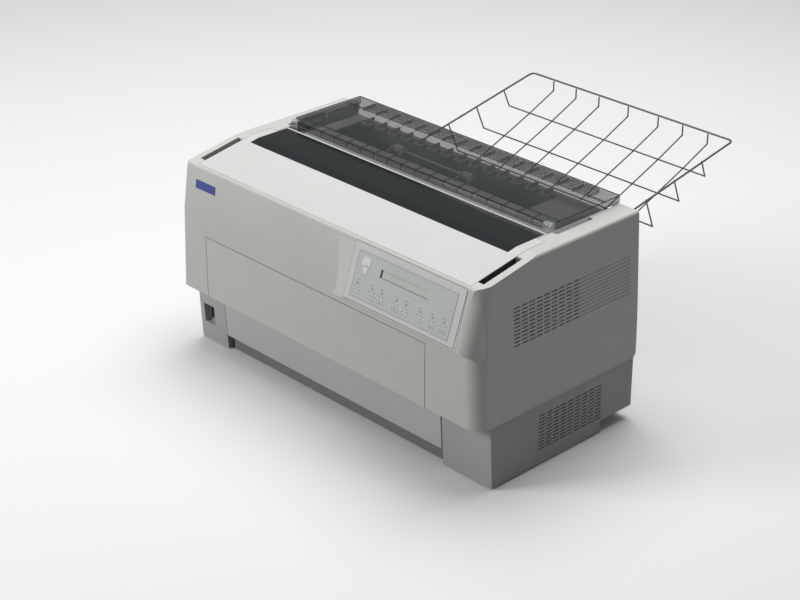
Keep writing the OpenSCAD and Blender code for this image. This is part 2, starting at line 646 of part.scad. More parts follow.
// ---- covers ----
module front_flap() color(warm_grey) {
    flap_low = case_bottom + 0.2;
    difference() {
        box(flap_x0, flap_x1, case_depth - wall, case_depth, flap_low, flap_top);
        // finger notch behind the top edge
        box(flap_x0 + 220, flap_x0 + 300, case_depth - wall - 1, case_depth - 1.5, flap_top - 4, flap_top + 1);
    }
    // stiffening ribs inside
    for (i = [0 : 6]) let (x = flap_x0 + 20 + i * (flap_x1 - flap_x0 - 43) / 6)
        box(x, x + 3, case_depth - 9, case_depth - 2, flap_low + 12, flap_top - 12);
    box(flap_x0 + 6, flap_x1 - 6, case_depth - 7, case_depth - 2, flap_top - 12, flap_top - 9);
    // hinge arms with their pins
    for (s = [0, 1]) {
        x = s == 0 ? flap_x0 : flap_x1 - 4;
        side_prism([[case_depth - 2, flap_low + 1.5], [case_depth - 2, flap_low + 16], [flap_pin_depth - 3, flap_pin_z + 3],
            [flap_pin_depth - 3, flap_pin_z - 3], [flap_pin_depth + 1, flap_pin_z - 4]], x, x + 4);
        bar(s == 0 ? flap_x0 - flap_seam - cheek_t : flap_x1 - 2, s == 0 ? flap_x0 + 2 : flap_x1 + flap_seam + cheek_t,
            flap_pin_depth, flap_pin_z, flap_pin_r);
    }
}
// the cover's skin between two depths, w wide each side, from its top down by t
module cover_skin(d0, d1, w, t) {
    side_prism([[d1, top_z(d1)], [max(min(break_depth, d1), d0), top_z(max(min(break_depth, d1), d0))], [d0, top_z(d0)],
        [d0, top_z(d0) - t], [max(min(break_depth, d1), d0), top_z(max(min(break_depth, d1), d0)) - t], [d1, top_z(d1) - t]], -w, w);
}
window_half = neck_half - 2;
window_rear = cover_rear + 3;
window_front = window_rear + window_len;
module top_cover() color(light_grey) {
    lip = 12;
    // radii about the hinge that the front edge and the wings' rear edges keep
    front_sweep = norm([cover_front - cover_pin_depth, pin_z - top_z(cover_front)]);
    wing_sweep = norm([neck_depth + seam - cover_pin_depth, top_h - pin_z]);
    difference() {
        union() {
            difference() {
                intersection() {
                    bar(-half, half, cover_pin_depth, pin_z, front_sweep);
                    union() {
                        cover_skin(neck_depth + seam, cover_front, cover_half, lip);
                        cover_skin(cover_rear, neck_depth + 2, neck_half - side_gap, lip);
                    }
                }
                for (s = [0, 1]) mirror([s, 0, 0])
                    bar(neck_half - side_gap, cover_half + 1, cover_pin_depth, pin_z, wing_sweep);
                // hollow underside
                translate([0, 0, -skin]) cover_skin(neck_depth + 4.5, cover_front - skin - 1.5, cover_half - skin, 40);
                translate([0, 0, -skin]) cover_skin(cover_rear + 3, neck_depth + 10, neck_half - 6, 40);
            }
            for (s = [-1, 1]) bar(min(s * (neck_half - 5), s * (neck_half + seam + skirt_t)), max(s * (neck_half - 5), s * (neck_half + seam + skirt_t)),
                cover_pin_depth, pin_z, hinge_r);
            // ribs under the front of the cover
            for (i = [-4 : 4]) translate([i * 62, 0, -1])
                cover_skin(window_front + 12, cover_front - 2, 1.2, 8);
        }
        // round nose of the hinge end, so that the cover can swing up
        difference() {
            box(-neck_half - 1, neck_half + 1, cover_rear - 1, cover_pin_depth, pin_z - 20, pin_z);
            bar(-neck_half - 2, neck_half + 2, cover_pin_depth, pin_z, 4);
        }
        box(-window_half, window_half, window_rear, window_front, 300, top_h + 10);
    }
    // rails that hold the window
    for (s = [0, 1]) mirror([s, 0, 0])
        translate([0, 0, -skin]) intersection() {
            box(window_half - 5, neck_half - side_gap - 1, window_rear, window_front, 300, top_h);
            translate([0, 0, 0.5]) cover_skin(window_rear, window_front, big, 2);
        }
}
module cover_window() color(smoke)
    intersection() {
        box(-window_half + side_gap, window_half - side_gap, window_rear + side_gap, window_front - side_gap, 300, top_h + 10);
        translate([0, 0, -0.3]) cover_skin(window_rear, window_front, big, 2.2 - 0.3);
    }
eject_rear = -2;
eject_t = 2;
eject_base = top_h + side_gap;
module eject_cover() color(smoke) {
    top = top_h + eject_h;
    x = neck_half - 1;
    difference() {
        side_prism([[eject_rear, eject_base], [eject_rear, top], [eject_front - 2, top], [eject_front, top - 2],
            [eject_front, eject_base]], -x, x);
        box(-x + eject_t, x - eject_t, eject_rear - 5, eject_front - eject_t, 300, top - eject_t);
        // corner places of the catches
        for (s = [-1, 1]) translate([s * (x - 8), 0, 0])
            box(-8.1, 8.1, eject_front - 11, eject_front + 1, 300, top + 1);
    }
    // ribs inside the front and under the top
    count = floor((2 * x - 40) / rib_pitch / 2);
    for (i = [-count : count]) {
        box(i * rib_pitch - 0.6, i * rib_pitch + 0.6, eject_front - 24, eject_front - 1, top - 5, top - 1);
        box(i * rib_pitch - 0.6, i * rib_pitch + 0.6, eject_front - 5, eject_front - 1, eject_base + 1, top - 1);
        box(i * rib_pitch - 0.6, i * rib_pitch + 0.6, eject_rear + 2, eject_rear + 30, top - 9, top - 1);
    }
    box(-x + 1, x - 1, eject_front - 25, eject_front - 24, top - 5, top - 1);
    box(-x + 1, x - 1, eject_rear + 30, eject_rear + 31, top - 6, top - 1);
    // hinge ears with their pins
    for (s = [0, 1]) mirror([s, 0, 0]) {
        side_prism([[eject_pin_depth - 5, pin_z - 1], [eject_pin_depth - 3, pin_z - 4.5], [eject_pin_depth + 3, pin_z - 4.5],
            [eject_pin_depth + 6, eject_base + 2], [eject_pin_depth - 7, eject_base + 2]], x - 3, x);
        bar(x - 2, neck_half + seam + skirt_t, eject_pin_depth, pin_z, hinge_r);
    }
}
module eject_cover_catches() color([0.85, 0.87, 0.88, 0.6]) {
    x = neck_half - 1;
    top = top_h + eject_h;
    for (s = [-1, 1]) translate([s * (x - 8), 0, 0]) difference() {
        union() {
            box(-8, 8, eject_front - 10.9, eject_front, eject_base, top - 2.5);
            bar(-8, 8, eject_front - 5, top - 4.5, 4);
        }
        box(-5.5, 5.5, eject_front - 7.5, eject_front + 1, eject_base + 2.5, top - 5);
    }
}
module rear_cover() color(warm_grey) {
    // the lower edge is bevelled so that it swings clear of the wall
    side_prism([[0, rear_cover_low + 3.6], [0, rear_cover_high], [wall, rear_cover_high], [wall, rear_cover_low],
        [wall - 0.2, rear_cover_low]], -rear_cover_half, rear_cover_half);
    for (i = [0 : 7]) let (x = -rear_cover_half + 20 + i * (2 * rear_cover_half - 43) / 7)
        box(x, x + 3, wall - 1, wall + 5, rear_cover_low + 14, rear_cover_high - 8);
    // finger grip
    box(-40, 40, -5, 1, rear_cover_high - 14, rear_cover_high - 10);
    for (s = [0, 1]) mirror([s, 0, 0]) {
        side_prism([[1, rear_cover_low + 1], [1, rear_cover_low + 16], [rear_pin_depth + 3, rear_pin_z + 3],
            [rear_pin_depth + 3, rear_pin_z - 3], [rear_pin_depth, rear_cover_low + 1]], rear_cover_half - 4, rear_cover_half);
        bar(rear_cover_half - 2, rear_cover_half + seam + cheek_t, rear_pin_depth, rear_pin_z, rear_pin_r);
    }
}

// ---- wire rack ----
rail_len = (rack_reach - rack_rail_r) / cos(rack_tilt);
cross_first = rail_len - 80;
cross_pitch = 72.3;
floor_slope = 22;
drop_lean = 22.3;
// the wires are welded where they all but touch
weld_gap = 0.02;
// point of the rail line at a distance from the rear wall
function rail_at(x, s) = [x, fwd(0) + s * cos(rack_tilt), rack_z + s * sin(rack_tilt)];
drop_first = 34;
// length of a cross wire's sides, longer towards the case
function drop_len(i) = drop_first + 13 * i;
function floor_at(x, i) = rail_at(x, cross_first - i * cross_pitch)
    + drop_len(i) * [0, sin(drop_lean), -cos(drop_lean)];
module rack_rails() color(wire_grey) {
    bend = 8;
    side = concat([[rack_w / 2, 3 - socket_len]],
        [for (a = [0 : 30 : 90]) [rack_w / 2 - bend + bend * cos(a), rail_len - bend + bend * sin(a)]]);
    bent_wire(concat([for (p = side) rail_at(p[0], p[1])],
        [for (i = [len(side) - 1 : -1 : 0]) rail_at(-side[i][0], side[i][1])]), rack_rail_r);
}
module rack_basket() color(wire_grey) {
    side = rack_w / 2 - rack_rail_r - rack_wire_r - weld_gap;
    for (i = [0 : 3])
        bent_wire([rail_at(-side, cross_first - i * cross_pitch), floor_at(-side + 1, i),
            floor_at(side - 1, i), rail_at(side, cross_first - i * cross_pitch)], rack_wire_r, 12);
    for (i = [-3 : 3]) {
        x = sign(i) * (rack_middle_pitch + (abs(i) - 1) * rack_outer_pitch) * (i == 0 ? 0 : 1);
        head = rail_at(x, rail_len) - [0, 0, rack_rail_r + rack_wire_r + weld_gap];
        under = [0, 0, 2 * rack_wire_r + 0.15];
        bent_wire([head, head - [0, 0, 18], floor_at(x, 0) - under, floor_at(x, 3) - under], rack_wire_r, 12);
    }
}

// ---- frame and carriage ----
board_z = 36;
board_d0 = 60;
board_d1 = base_depth - 31.4;
board_pillars = [for (x = [-130, 40, 215], d = [board_d0 + 20, board_d1 - 20]) [x, d]];
platen_depth = case_depth - 154;
platen_z = top_h - 73;
guide_depth = platen_depth + 57;
guide_z = platen_z - 23;
rail_depth = guide_depth + 43;
shaft_r = 5;
platen_half = 225;
pinion_z = platen_z - gear_module * (platen_teeth + pinion_teeth) / 2 - 0.1;
front_shaft_depth = case_depth - 47;
front_shaft_z = 150;
rear_shaft_depth = 46;
rear_shaft_z = 165;
support_rise = 36;
belt_depth = guide_depth + 23;
belt_z = guide_z - 21;
shelf_z = belt_z - 11;
frame_rear = 36;
frame_front = case_depth - 29;
frame_top = platen_z + 37;
guide_plate_depth = cover_rear - 6;
pulley_x = frame_outer - 30;
motor_shaft_r = 2.5;
frame_low = base_floor + wall;
module side_frame(motor_side) difference() {
    union() {
        side_prism([[frame_rear, frame_low], [frame_rear, 210], [platen_depth - 75, frame_top - 22],
            [platen_depth - 45, frame_top], [frame_front - 30, frame_top], [frame_front, frame_top - 22],
            [frame_front, case_bottom + 5.5], [frame_front - 20, case_bottom - 2.5], [frame_front - 20, frame_low]],
            frame_outer - frame_t, frame_outer);
        // foot flange and the shelf of the belt pulley
        box(frame_outer - 18, frame_outer, frame_rear + 4, base_depth - 64, frame_low, frame_low + frame_t);
        box(frame_outer - 52, frame_outer, belt_depth - 24, belt_depth + 24, shelf_z, shelf_z + frame_t);
    }
    bar(frame_outer - 9, frame_outer + 9, platen_depth, platen_z, shaft_r + run_gap);
    bar(frame_outer - 9, frame_outer + 9, guide_depth, guide_z, guide_r);
    bar(frame_outer - 9, frame_outer + 9, rail_depth, guide_z, rail_r);
    for (p = [[front_shaft_depth, front_shaft_z], [rear_shaft_depth, rear_shaft_z]]) {
        bar(frame_outer - 9, frame_outer + 9, p[0], p[1], tractor_shaft_r + run_gap);
        bar(frame_outer - 9, frame_outer + 9, p[0], p[1] + support_rise, tractor_shaft_r);
    }
    // lightening windows
    box(frame_outer - 9, frame_outer + 9, frame_rear + 54, platen_depth - 35, 80, 200);
    box(frame_outer - 9, frame_outer + 9, platen_depth - 5, platen_depth + 65, 60, 200);
    if (motor_side) bar(frame_outer - 9, frame_outer + 9, platen_depth, pinion_z, 5);
    translate([pulley_x, fwd(belt_depth), shelf_z - 5]) cylinder(r = motor_shaft_r + (motor_side ? 0 : 1), h = 20);
}
module side_frame_left() color(zinc) mirror([1, 0, 0]) side_frame(false);
module side_frame_right() color(zinc) side_frame(true);
module guide_shaft() color(steel) bar(-frame_outer, frame_outer, guide_depth, guide_z, guide_r);
module front_rail() color(steel) bar(-frame_outer, frame_outer, rail_depth, guide_z, rail_r);
module platen() color(dark) {
    bar(-platen_half, platen_half, platen_depth, platen_z, platen_r);
    color(steel) bar(-frame_outer - 3, frame_outer + 12, platen_depth, platen_z, shaft_r);
}

// involute spur gear outline with its tooth gaps a little wide
function involute(base_r, roll) = base_r * [cos(roll) + roll * PI / 180 * sin(roll), sin(roll) - roll * PI / 180 * cos(roll)];
module gear(teeth, thick, bore) {
    pitch_r = gear_module * teeth / 2;
    base_r = pitch_r * cos(20);
    tip_r = pitch_r + gear_module;
    root_r = pitch_r - 1.25 * gear_module;
    pitch_roll = sqrt(pow(pitch_r / base_r, 2) - 1) * 180 / PI;
    tip_roll = sqrt(pow(tip_r / base_r, 2) - 1) * 180 / PI;
    at_pitch = involute(base_r, pitch_roll);
    half_tooth = 90 / teeth - 0.12 * 180 / PI / pitch_r;
    turn = half_tooth + atan2(at_pitch[1], at_pitch[0]);
    flank = [for (i = [0 : 4]) involute(base_r, tip_roll * i / 4)];
    difference() {
        linear_extrude(thick) polygon([for (k = [0 : teeth - 1]) each let (mid = 360 * k / teeth) concat(
            [root_r * [cos(mid - turn), sin(mid - turn)]],
            [for (p = flank) [p[0] * cos(mid - turn) - p[1] * sin(mid - turn), p[0] * sin(mid - turn) + p[1] * cos(mid - turn)]],
            [for (i = [4 : -1 : 0]) let (p = flank[i]) [p[0] * cos(mid + turn) + p[1] * sin(mid + turn), p[0] * sin(mid + turn) - p[1] * cos(mid + turn)]],
            [root_r * [cos(mid + turn), sin(mid + turn)]])]);
        translate([0, 0, -1]) cylinder(r = bore, h = thick + 2);
    }
}
gear_x = frame_outer + 3;
gear_t = 7;
module platen_gear() color([0.9, 0.88, 0.8])
    translate([gear_x, fwd(platen_depth), platen_z]) rotate([0, 90, 0]) difference() {
        gear(platen_teeth, gear_t, shaft_r);
        for (a = [0 : 60 : 300]) rotate([0, 0, a + 15]) translate([gear_module * platen_teeth * 0.3, 0, -1]) cylinder(r = 4, h = 20, $fn = 24);
    }
// the pinion's tooth gap faces the platen gear's tooth
module feed_pinion() color(steel) {
    translate([gear_x, fwd(platen_depth), pinion_z]) rotate([0, 90, 0])
        rotate([0, 0, pinion_teeth % 2 == 0 ? 180 / pinion_teeth : 0]) gear(pinion_teeth, gear_t, 2);
    bar(frame_outer - 30, gear_x + gear_t, platen_depth, pinion_z, 3);
}
module feed_motor() color(dark) difference() {
    union() {
        translate([0, 0, pinion_z - 21]) box(frame_outer - frame_t - 38, frame_outer - frame_t, platen_depth - 21, platen_depth + 21, 0, 42);
    }
    bar(frame_outer - 34, frame_outer + 9, platen_depth, pinion_z, 3 + run_gap);
    for (a = [-1, 1], b = [-1, 1])
        translate([0, a * 21, b * 21]) rotate([45, 0, 0]) translate([0, 0, 0])
            translate([frame_outer - 50, fwd(platen_depth) * cos(45) + pinion_z * sin(45) - 3, -fwd(platen_depth) * sin(45) + pinion_z * cos(45) - 3])
                cube([60, 6, 6]);
}

head_top = platen_z + 15;
carriage_half = 42;
module carriage() color(dark) difference() {
    union() {
        box(-carriage_half, carriage_half, guide_depth - 12, rail_depth + 9, guide_z - 11, guide_z + 13);
        // clamp that grips the belt
        box(-8, 8, belt_depth - pulley_r - 5, belt_depth - pulley_r + 4, belt_z - 3, guide_z - 10);
    }
    bar(-carriage_half - 1, carriage_half + 1, guide_depth, guide_z, guide_r + run_gap);
    bar(-carriage_half - 1, carriage_half + 1, rail_depth, guide_z, rail_r + run_gap);
    // passage of the belt through the clamp
    box(-10, 10, belt_depth - pulley_r - 1.8, belt_depth - pulley_r + 0.6 + 0.3, belt_z - 4, belt_z + 6.4);
    box(-carriage_half + 8, carriage_half - 8, guide_depth + 12, rail_depth - 9, guide_z + 4, guide_z + 20);
}
module print_head() color([0.3, 0.31, 0.32]) {
    nose = platen_depth + platen_r + 1.2;
    box(-16, 16, guide_depth - 14, guide_depth + 12, guide_z + 13, head_top);
    // cooling fins
    for (i = [0 : 5]) box(-24, 24, guide_depth - 8 + i * 4, guide_depth - 6 + i * 4, guide_z + 15, head_top + 6);
    side_prism([[nose, platen_z - 4], [nose, platen_z + 4], [guide_depth - 13, platen_z + 11], [guide_depth - 13, guide_z + 14],
        [guide_depth - 20, guide_z + 14]], -8, 8);
}
module ribbon_cartridge() color([0.16, 0.16, 0.17]) {
    low = guide_z + 13;
    box(-92, 92, guide_depth + 18, rail_depth + 12, low, low + 22);
    for (s = [0, 1]) mirror([s, 0, 0]) {
        side_prism([[guide_depth + 20, low + 4], [guide_depth + 20, low + 16], [platen_depth + platen_r + 5, platen_z + 3], [platen_depth + platen_r + 5, platen_z - 5]],
            28, 33);
        translate([62, fwd((guide_depth + rail_depth) / 2 + 15), low + 21]) cylinder(r = 12, h = 3);
    }
}
module drive_belt() color(dark) difference() {
    belt(pulley_r + 1, 0);
    belt(pulley_r + 0.05, 1);
}
module belt(r, extra) {
    translate([0, fwd(belt_depth), belt_z - extra]) {
        for (s = [-1, 1]) translate([s * pulley_x, 0, 0]) cylinder(r = r, h = 6 + 2 * extra);
        translate([-pulley_x, -r, 0]) cube([2 * pulley_x, 2 * r, 6 + 2 * extra]);
    }
}
module pulley() {
    cylinder(r = pulley_r, h = 7);
    cylinder(r = pulley_r + 2.5, h = 0.6);
    translate([0, 0, 7]) cylinder(r = pulley_r + 2.5, h = 1);
}
module drive_pulley() color(zinc) translate([-pulley_x, fwd(belt_depth), belt_z - 0.7]) {
    pulley();
    translate([0, 0, -22]) cylinder(r = motor_shaft_r, h = 23);
}
module idler_pulley() color(zinc) translate([pulley_x, fwd(belt_depth), belt_z - 0.7]) {
    pulley();
    translate([0, 0, shelf_z - belt_z + 0.7]) cylinder(r = motor_shaft_r - run_gap, h = 12);
}
motor_h = 28;
module carriage_motor() color(dark) translate([-pulley_x, fwd(belt_depth), 0]) difference() {
    translate([0, 0, shelf_z - motor_h]) cylinder(r = 19, h = motor_h);
    translate([0, 0, shelf_z - 20]) cylinder(r = motor_shaft_r + run_gap, h = 30);
}

// ---- paper guides and tractors ----
roller_depth = cover_rear - 89;
roller_x = [-115, 45];
exit_x0 = -262;
exit_x1 = 190;
exit_front = roller_depth + 16;
exit_rear = 20;
module exit_guide() color([0.62, 0.63, 0.63]) {
    x = neck_half - 8;
    z = top_h - 16;
    difference() {
        box(-x, x, 8, guide_plate_depth, z - 3, z);
        box(exit_x0, exit_x1, exit_rear, exit_front, z - 10, z + 10);
    }
    // teeth and ribs that the paper slides on
    for (i = [-8 : 5]) {
        box(i * rib_pitch - 1, i * rib_pitch + 19, exit_rear - 4, exit_rear + 12, z - 3, z);
        box(i * rib_pitch + 8, i * rib_pitch + 10, exit_rear - 10, exit_rear + 12, z - 1, z + 7);
    }
    // brackets down to the side frames
    for (s = [0, 1]) mirror([s, 0, 0])
        side_prism([[platen_depth - 69, frame_top - 16], [platen_depth - 49, frame_top - 4], [guide_plate_depth - 2, z - 2],
            [roller_depth - 15, z - 2], [platen_depth - 81, frame_top - 22]], frame_outer, frame_outer + 3);
    // arms that carry the rollers
    difference() {
        for (x = roller_x, s = [-1, 1]) translate([x + s * 13, 0, 0])
            side_prism([[exit_front + 6, z - 2], [exit_front + 6, z + 2], [roller_depth + 3, z + 9], [roller_depth - 5, z + 9],
                [roller_depth - 5, z], [roller_depth + 3, z - 2]], -1, 1);
        bar(roller_x[0] - 20, roller_x[1] + 20, roller_depth, z + 4, 2 + run_gap);
    }
}
module tension_rollers() color([0.8, 0.82, 0.82]) {
    z = top_h - 12;
    bar(roller_x[0] - 16, roller_x[1] + 16, roller_depth, z, 2);
    for (x = roller_x) bar(x - 9, x + 9, roller_depth, z, 7);
}
module tractor_support_shafts() color(steel)
    for (p = [[front_shaft_depth, front_shaft_z], [rear_shaft_depth, rear_shaft_z]])
        bar(-frame_outer, frame_outer, p[0], p[1] + support_rise, tractor_shaft_r);
module front_drive_shaft() color(steel) bar(-frame_outer - 4, frame_outer + 4, front_shaft_depth, front_shaft_z, tractor_shaft_r);
module rear_drive_shaft() color(steel) bar(-frame_outer - 4, frame_outer + 4, rear_shaft_depth, rear_shaft_z, tractor_shaft_r);

tractor_w = 22;
tractor_x = 196;
lid_t = 3;
// places a tractor drawn facing forward, at the origin of its drive shaft
module at_tractor(front, side) {
    d = front ? front_shaft_depth : rear_shaft_depth;
    z = front ? front_shaft_z : rear_shaft_z;
    translate([side * tractor_x, fwd(d), z]) rotate([0, 0, front ? 0 : 180]) mirror([(front ? side : -side) > 0 ? 0 : 1, 0, 0]) children();
}
module tractor_body() difference() {
    union() {
        translate([-tractor_w / 2, -10, -13]) cube([tractor_w, 20, support_rise + 26]);
        // feed pins on the belt side
        for (i = [0 : 3]) translate([-2, -12.5, -6 + i * 12.7]) rotate([-90, 0, 0]) cylinder(r = 1.6, h = 5, $fn = 20);
        // ear that carries the lid
        translate([tractor_w / 2 - 5, -14, 4]) cube([5, 6, 6]);
        translate([tractor_w / 2 - 5, -14, support_rise - 10]) cube([5, 6, 6]);
    }
    translate([-tractor_w, 0, 0]) rotate([0, 90, 0]) cylinder(r = tractor_shaft_r + run_gap, h = 2 * tractor_w);
    translate([-tractor_w, 0, support_rise]) rotate([0, 90, 0]) cylinder(r = tractor_shaft_r + run_gap, h = 2 * tractor_w);
    translate([tractor_w / 2 - 2.5, -12, 0]) cylinder(r = 1 + run_gap, h = support_rise, $fn = 20);
}
module tractor_lid() difference() {
    union() {
        translate([-tractor_w / 2, -13.4 - lid_t + 1, -10]) cube([tractor_w - 6, lid_t, support_rise + 20]);
        translate([tractor_w / 2 - 7, -15.4, 10.3]) cube([6.5, lid_t + 0.6, support_rise - 20.6]);
        translate([tractor_w / 2 - 2.5, -12, 4]) cylinder(r = 1, h = support_rise - 8, $fn = 20);
        translate([tractor_w / 2 - 2.5, -12, 10.3]) cylinder(r = 2, h = support_rise - 20.6, $fn = 20);
    }
    // slot that clears the feed pins
    translate([-4.5, -20, -9]) cube([5, 12, support_rise + 18]);
}
module front_tractor_left() color(dark) at_tractor(true, -1) tractor_body();
module front_tractor_right() color(dark) at_tractor(true, 1) tractor_body();
module rear_tractor_left() color(dark) at_tractor(false, -1) tractor_body();
module rear_tractor_right() color(dark) at_tractor(false, 1) tractor_body();
module front_tractor_lid_left() color(base_grey) at_tractor(true, -1) tractor_lid();
module front_tractor_lid_right() color(base_grey) at_tractor(true, 1) tractor_lid();
module rear_tractor_lid_left() color(base_grey) at_tractor(false, -1) tractor_lid();
module rear_tractor_lid_right() color(base_grey) at_tractor(false, 1) tractor_lid();

// ---- power and electronics ----
supply_x = -frame_outer + 24;
supply_w = 112;
supply_len = 190;
supply_h = 63;
supply_d0 = 60;
module power_supply() color(zinc) difference() {
    box(supply_x, supply_x + supply_w, supply_d0, supply_d0 + supply_len, frame_low, frame_low + supply_h);
    // vent slots in the cage
    for (i = [0 : 9]) box(supply_x - 1, supply_x + 3, supply_d0 + 20 + i * 16, supply_d0 + 26 + i * 16, frame_low + 15, frame_low + supply_h - 10);
    box(supply_x + 2, supply_x + supply_w - 2, supply_d0 + 2, supply_d0 + supply_len - 2, frame_low + 2, frame_low + supply_h - 2);
}
module main_board() {
    color([0.1, 0.35, 0.2]) box(-145, 230, board_d0, board_d1, board_z, board_z + 1.8);
    color(dark) {
        box(-60, -20, 150, 190, board_z + 1.8, board_z + 5);
        box(20, 60, 150, 190, board_z + 1.8, board_z + 5);
        box(90, 150, 90, 110, board_z + 1.8, board_z + 14);
        box(-120, -90, 230, 290, board_z + 1.8, board_z + 26);
    }
}
fan_x0 = base_half - wall - 22;
fan_z = 62;
fan_depth = 155;
fan_half = 32;
fan_bore = 29;
module fan_housing() color(dark) difference() {
    box(fan_x0, base_half - wall, fan_depth - fan_half, fan_depth + fan_half, fan_z - fan_half, fan_z + fan_half);
    difference() {
        bar(fan_x0 - 1, base_half, fan_depth, fan_z, fan_bore);
        // motor seat on its three struts
        bar(base_half - wall - 5, base_half - wall, fan_depth, fan_z, 11);
        for (a = [90, 210, 330]) translate([base_half - wall - 4, fwd(fan_depth), fan_z]) rotate([a, 0, 0])
            translate([0, -2, 0]) cube([3, 4, fan_bore + 1]);
    }
    bar(base_half - wall - 9, base_half + 1, fan_depth, fan_z, 2 + run_gap);
}
module fan_rotor() color(dark) {
    bar(fan_x0 + 2, base_half - wall - 6, fan_depth, fan_z, 11);
    bar(fan_x0 + 3, base_half - wall - 1, fan_depth, fan_z, 2);
    for (a = [0 : 360 / 7 : 359]) translate([fan_x0 + 9, fwd(fan_depth), fan_z]) rotate([a, 0, 0])
        rotate([0, 0, 35]) translate([-6, -0.8, 9]) cube([12, 1.6, fan_bore - 10.5]);
}

base_case();
lower_front_panel();
lower_paper_guide();
rubber_feet();
upper_case();
panel_bezel();
panel_overlay();
lcd_display();
status_lamps();
panel_button(0);  // button_1
panel_button(1);  // button_2
panel_button(2);  // button_3
panel_button(3);  // button_4
panel_button(4);  // button_5
panel_button(5);  // button_6
panel_button(6);  // button_7
panel_button(7);  // button_8
power_rocker();
power_inlet();
interface_ports();
front_flap();
top_cover();
cover_window();
eject_cover();
eject_cover_catches();
rear_cover();
rack_rails();
rack_basket();
side_frame_left();
side_frame_right();
guide_shaft();
front_rail();
carriage();
print_head();
ribbon_cartridge();
drive_belt();
drive_pulley();
idler_pulley();
carriage_motor();
platen();
platen_gear();
feed_motor();
feed_pinion();
exit_guide();
tension_rollers();
tractor_support_shafts();
front_drive_shaft();
front_tractor_left();
front_tractor_right();
front_tractor_lid_left();
front_tractor_lid_right();
rear_drive_shaft();
rear_tractor_left();
rear_tractor_right();
rear_tractor_lid_left();
rear_tractor_lid_right();
power_supply();
main_board();
fan_housing();
fan_rotor();
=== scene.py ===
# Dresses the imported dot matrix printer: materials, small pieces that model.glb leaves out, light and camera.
import math
import bpy
import bmesh
from mathutils import Matrix, Vector


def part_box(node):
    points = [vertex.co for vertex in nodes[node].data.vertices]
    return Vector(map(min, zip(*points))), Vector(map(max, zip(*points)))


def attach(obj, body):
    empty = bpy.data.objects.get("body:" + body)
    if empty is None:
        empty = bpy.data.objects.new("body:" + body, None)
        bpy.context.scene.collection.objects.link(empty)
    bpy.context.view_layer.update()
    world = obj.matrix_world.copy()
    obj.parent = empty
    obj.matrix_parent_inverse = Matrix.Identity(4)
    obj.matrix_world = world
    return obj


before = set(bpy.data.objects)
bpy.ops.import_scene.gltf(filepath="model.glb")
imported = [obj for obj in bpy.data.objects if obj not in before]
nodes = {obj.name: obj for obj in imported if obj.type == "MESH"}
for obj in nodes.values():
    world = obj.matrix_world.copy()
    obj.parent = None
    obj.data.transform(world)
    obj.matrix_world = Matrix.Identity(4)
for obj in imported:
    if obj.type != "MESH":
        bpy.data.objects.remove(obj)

scene = bpy.context.scene
scene.view_settings.view_transform = "Standard"
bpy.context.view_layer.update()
MM = 0.001

# ------------------------------------------------------------------ places on the printer
# In mm: x runs across, depth runs forward of the case's rear wall, and z runs up.
BASE_SETBACK = 5.3                                    # the base's rear wall, forward of the case's
rear_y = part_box("base_case")[1][1] / MM + BASE_SETBACK
FRONT_DEPTH, BOW_R, BOW_Z = 359, 500, 230             # the front face bows back above a height
TOP_Z, BREAK_DEPTH, TOP_SLOPE = 358, 229, 9.8         # the top falls forward of its break, in degrees
HINGE_DEPTH, HINGE_Z, EDGE_DEPTH = 168, 350, 343      # the top cover's hinge and its front edge
COVER_HALF, NECK_HALF = 313.48, 297.48                # half widths inside the cheeks: top cover, eject cover
EJECT_HALF = NECK_HALF - 1
EJECT_LOW, EJECT_HIGH = 369.5, 371.1                  # the eject cover's upper edge band
INLET_X, INLET_Z, PORT_X = -280, 63, 60               # power inlet and connector plate, on the rear wall
BOARD_TOP = 37.8
TILT = math.radians(19.2)                             # lean of the control panel
PANEL_X, PANEL_DEPTH, PANEL_Z = 76.2, 347.5, 333.5    # the panel's upper left corner
PANEL = Matrix(((1, 0, 0, PANEL_X * MM),
                (0, math.sin(TILT), -math.cos(TILT), (rear_y - PANEL_DEPTH) * MM),
                (0, math.cos(TILT), math.sin(TILT), PANEL_Z * MM),
                (0, 0, 0, 1)))


def at(x, depth, z):
    """A point given in mm: across, forward of the rear wall, and up."""
    return Vector((x * MM, (rear_y - depth) * MM, z * MM))


def front_at(z):
    """Depth of the bowed front face at a height."""
    return FRONT_DEPTH - BOW_R + math.sqrt(BOW_R ** 2 - max(0.0, z - BOW_Z) ** 2)


def top_at(depth):
    """Height of the top at a depth."""
    return TOP_Z - max(0.0, depth - BREAK_DEPTH) * math.tan(math.radians(TOP_SLOPE))


# ------------------------------------------------------------------ materials
BUMP_DEPTH = 0.0003


def tree(name):
    mat = bpy.data.materials.new(name)
    mat.use_nodes = True
    nt = mat.node_tree
    return mat, nt, nt.nodes["Principled BSDF"]


def add(nt, kind, **inputs):
    """A new node, with its own settings and its sockets' values given by name."""
    node = nt.nodes.new(kind)
    for key, value in inputs.items():
        if hasattr(node, key):
            setattr(node, key, value)
        else:
            node.inputs[key.replace("_", " ")].default_value = value
    return node


def mottle(nt, bsdf, color, spread, scale, coords):
    """Soft variation of a colour over the surface."""
    noise = add(nt, "ShaderNodeTexNoise", Scale=scale, Detail=4.0)
    ramp = nt.nodes.new("ShaderNodeValToRGB")
    dark, light = ramp.color_ramp.elements
    dark.position, light.position = 0.3, 0.7
    dark.color = [c * (1 - spread) for c in color] + [1]
    light.color = [min(1, c * (1 + spread)) for c in color] + [1]
    nt.links.new(coords.outputs["Object"], noise.inputs["Vector"])
    nt.links.new(noise.outputs["Fac"], ramp.inputs["Fac"])
    nt.links.new(ramp.outputs["Color"], bsdf.inputs["Base Color"])


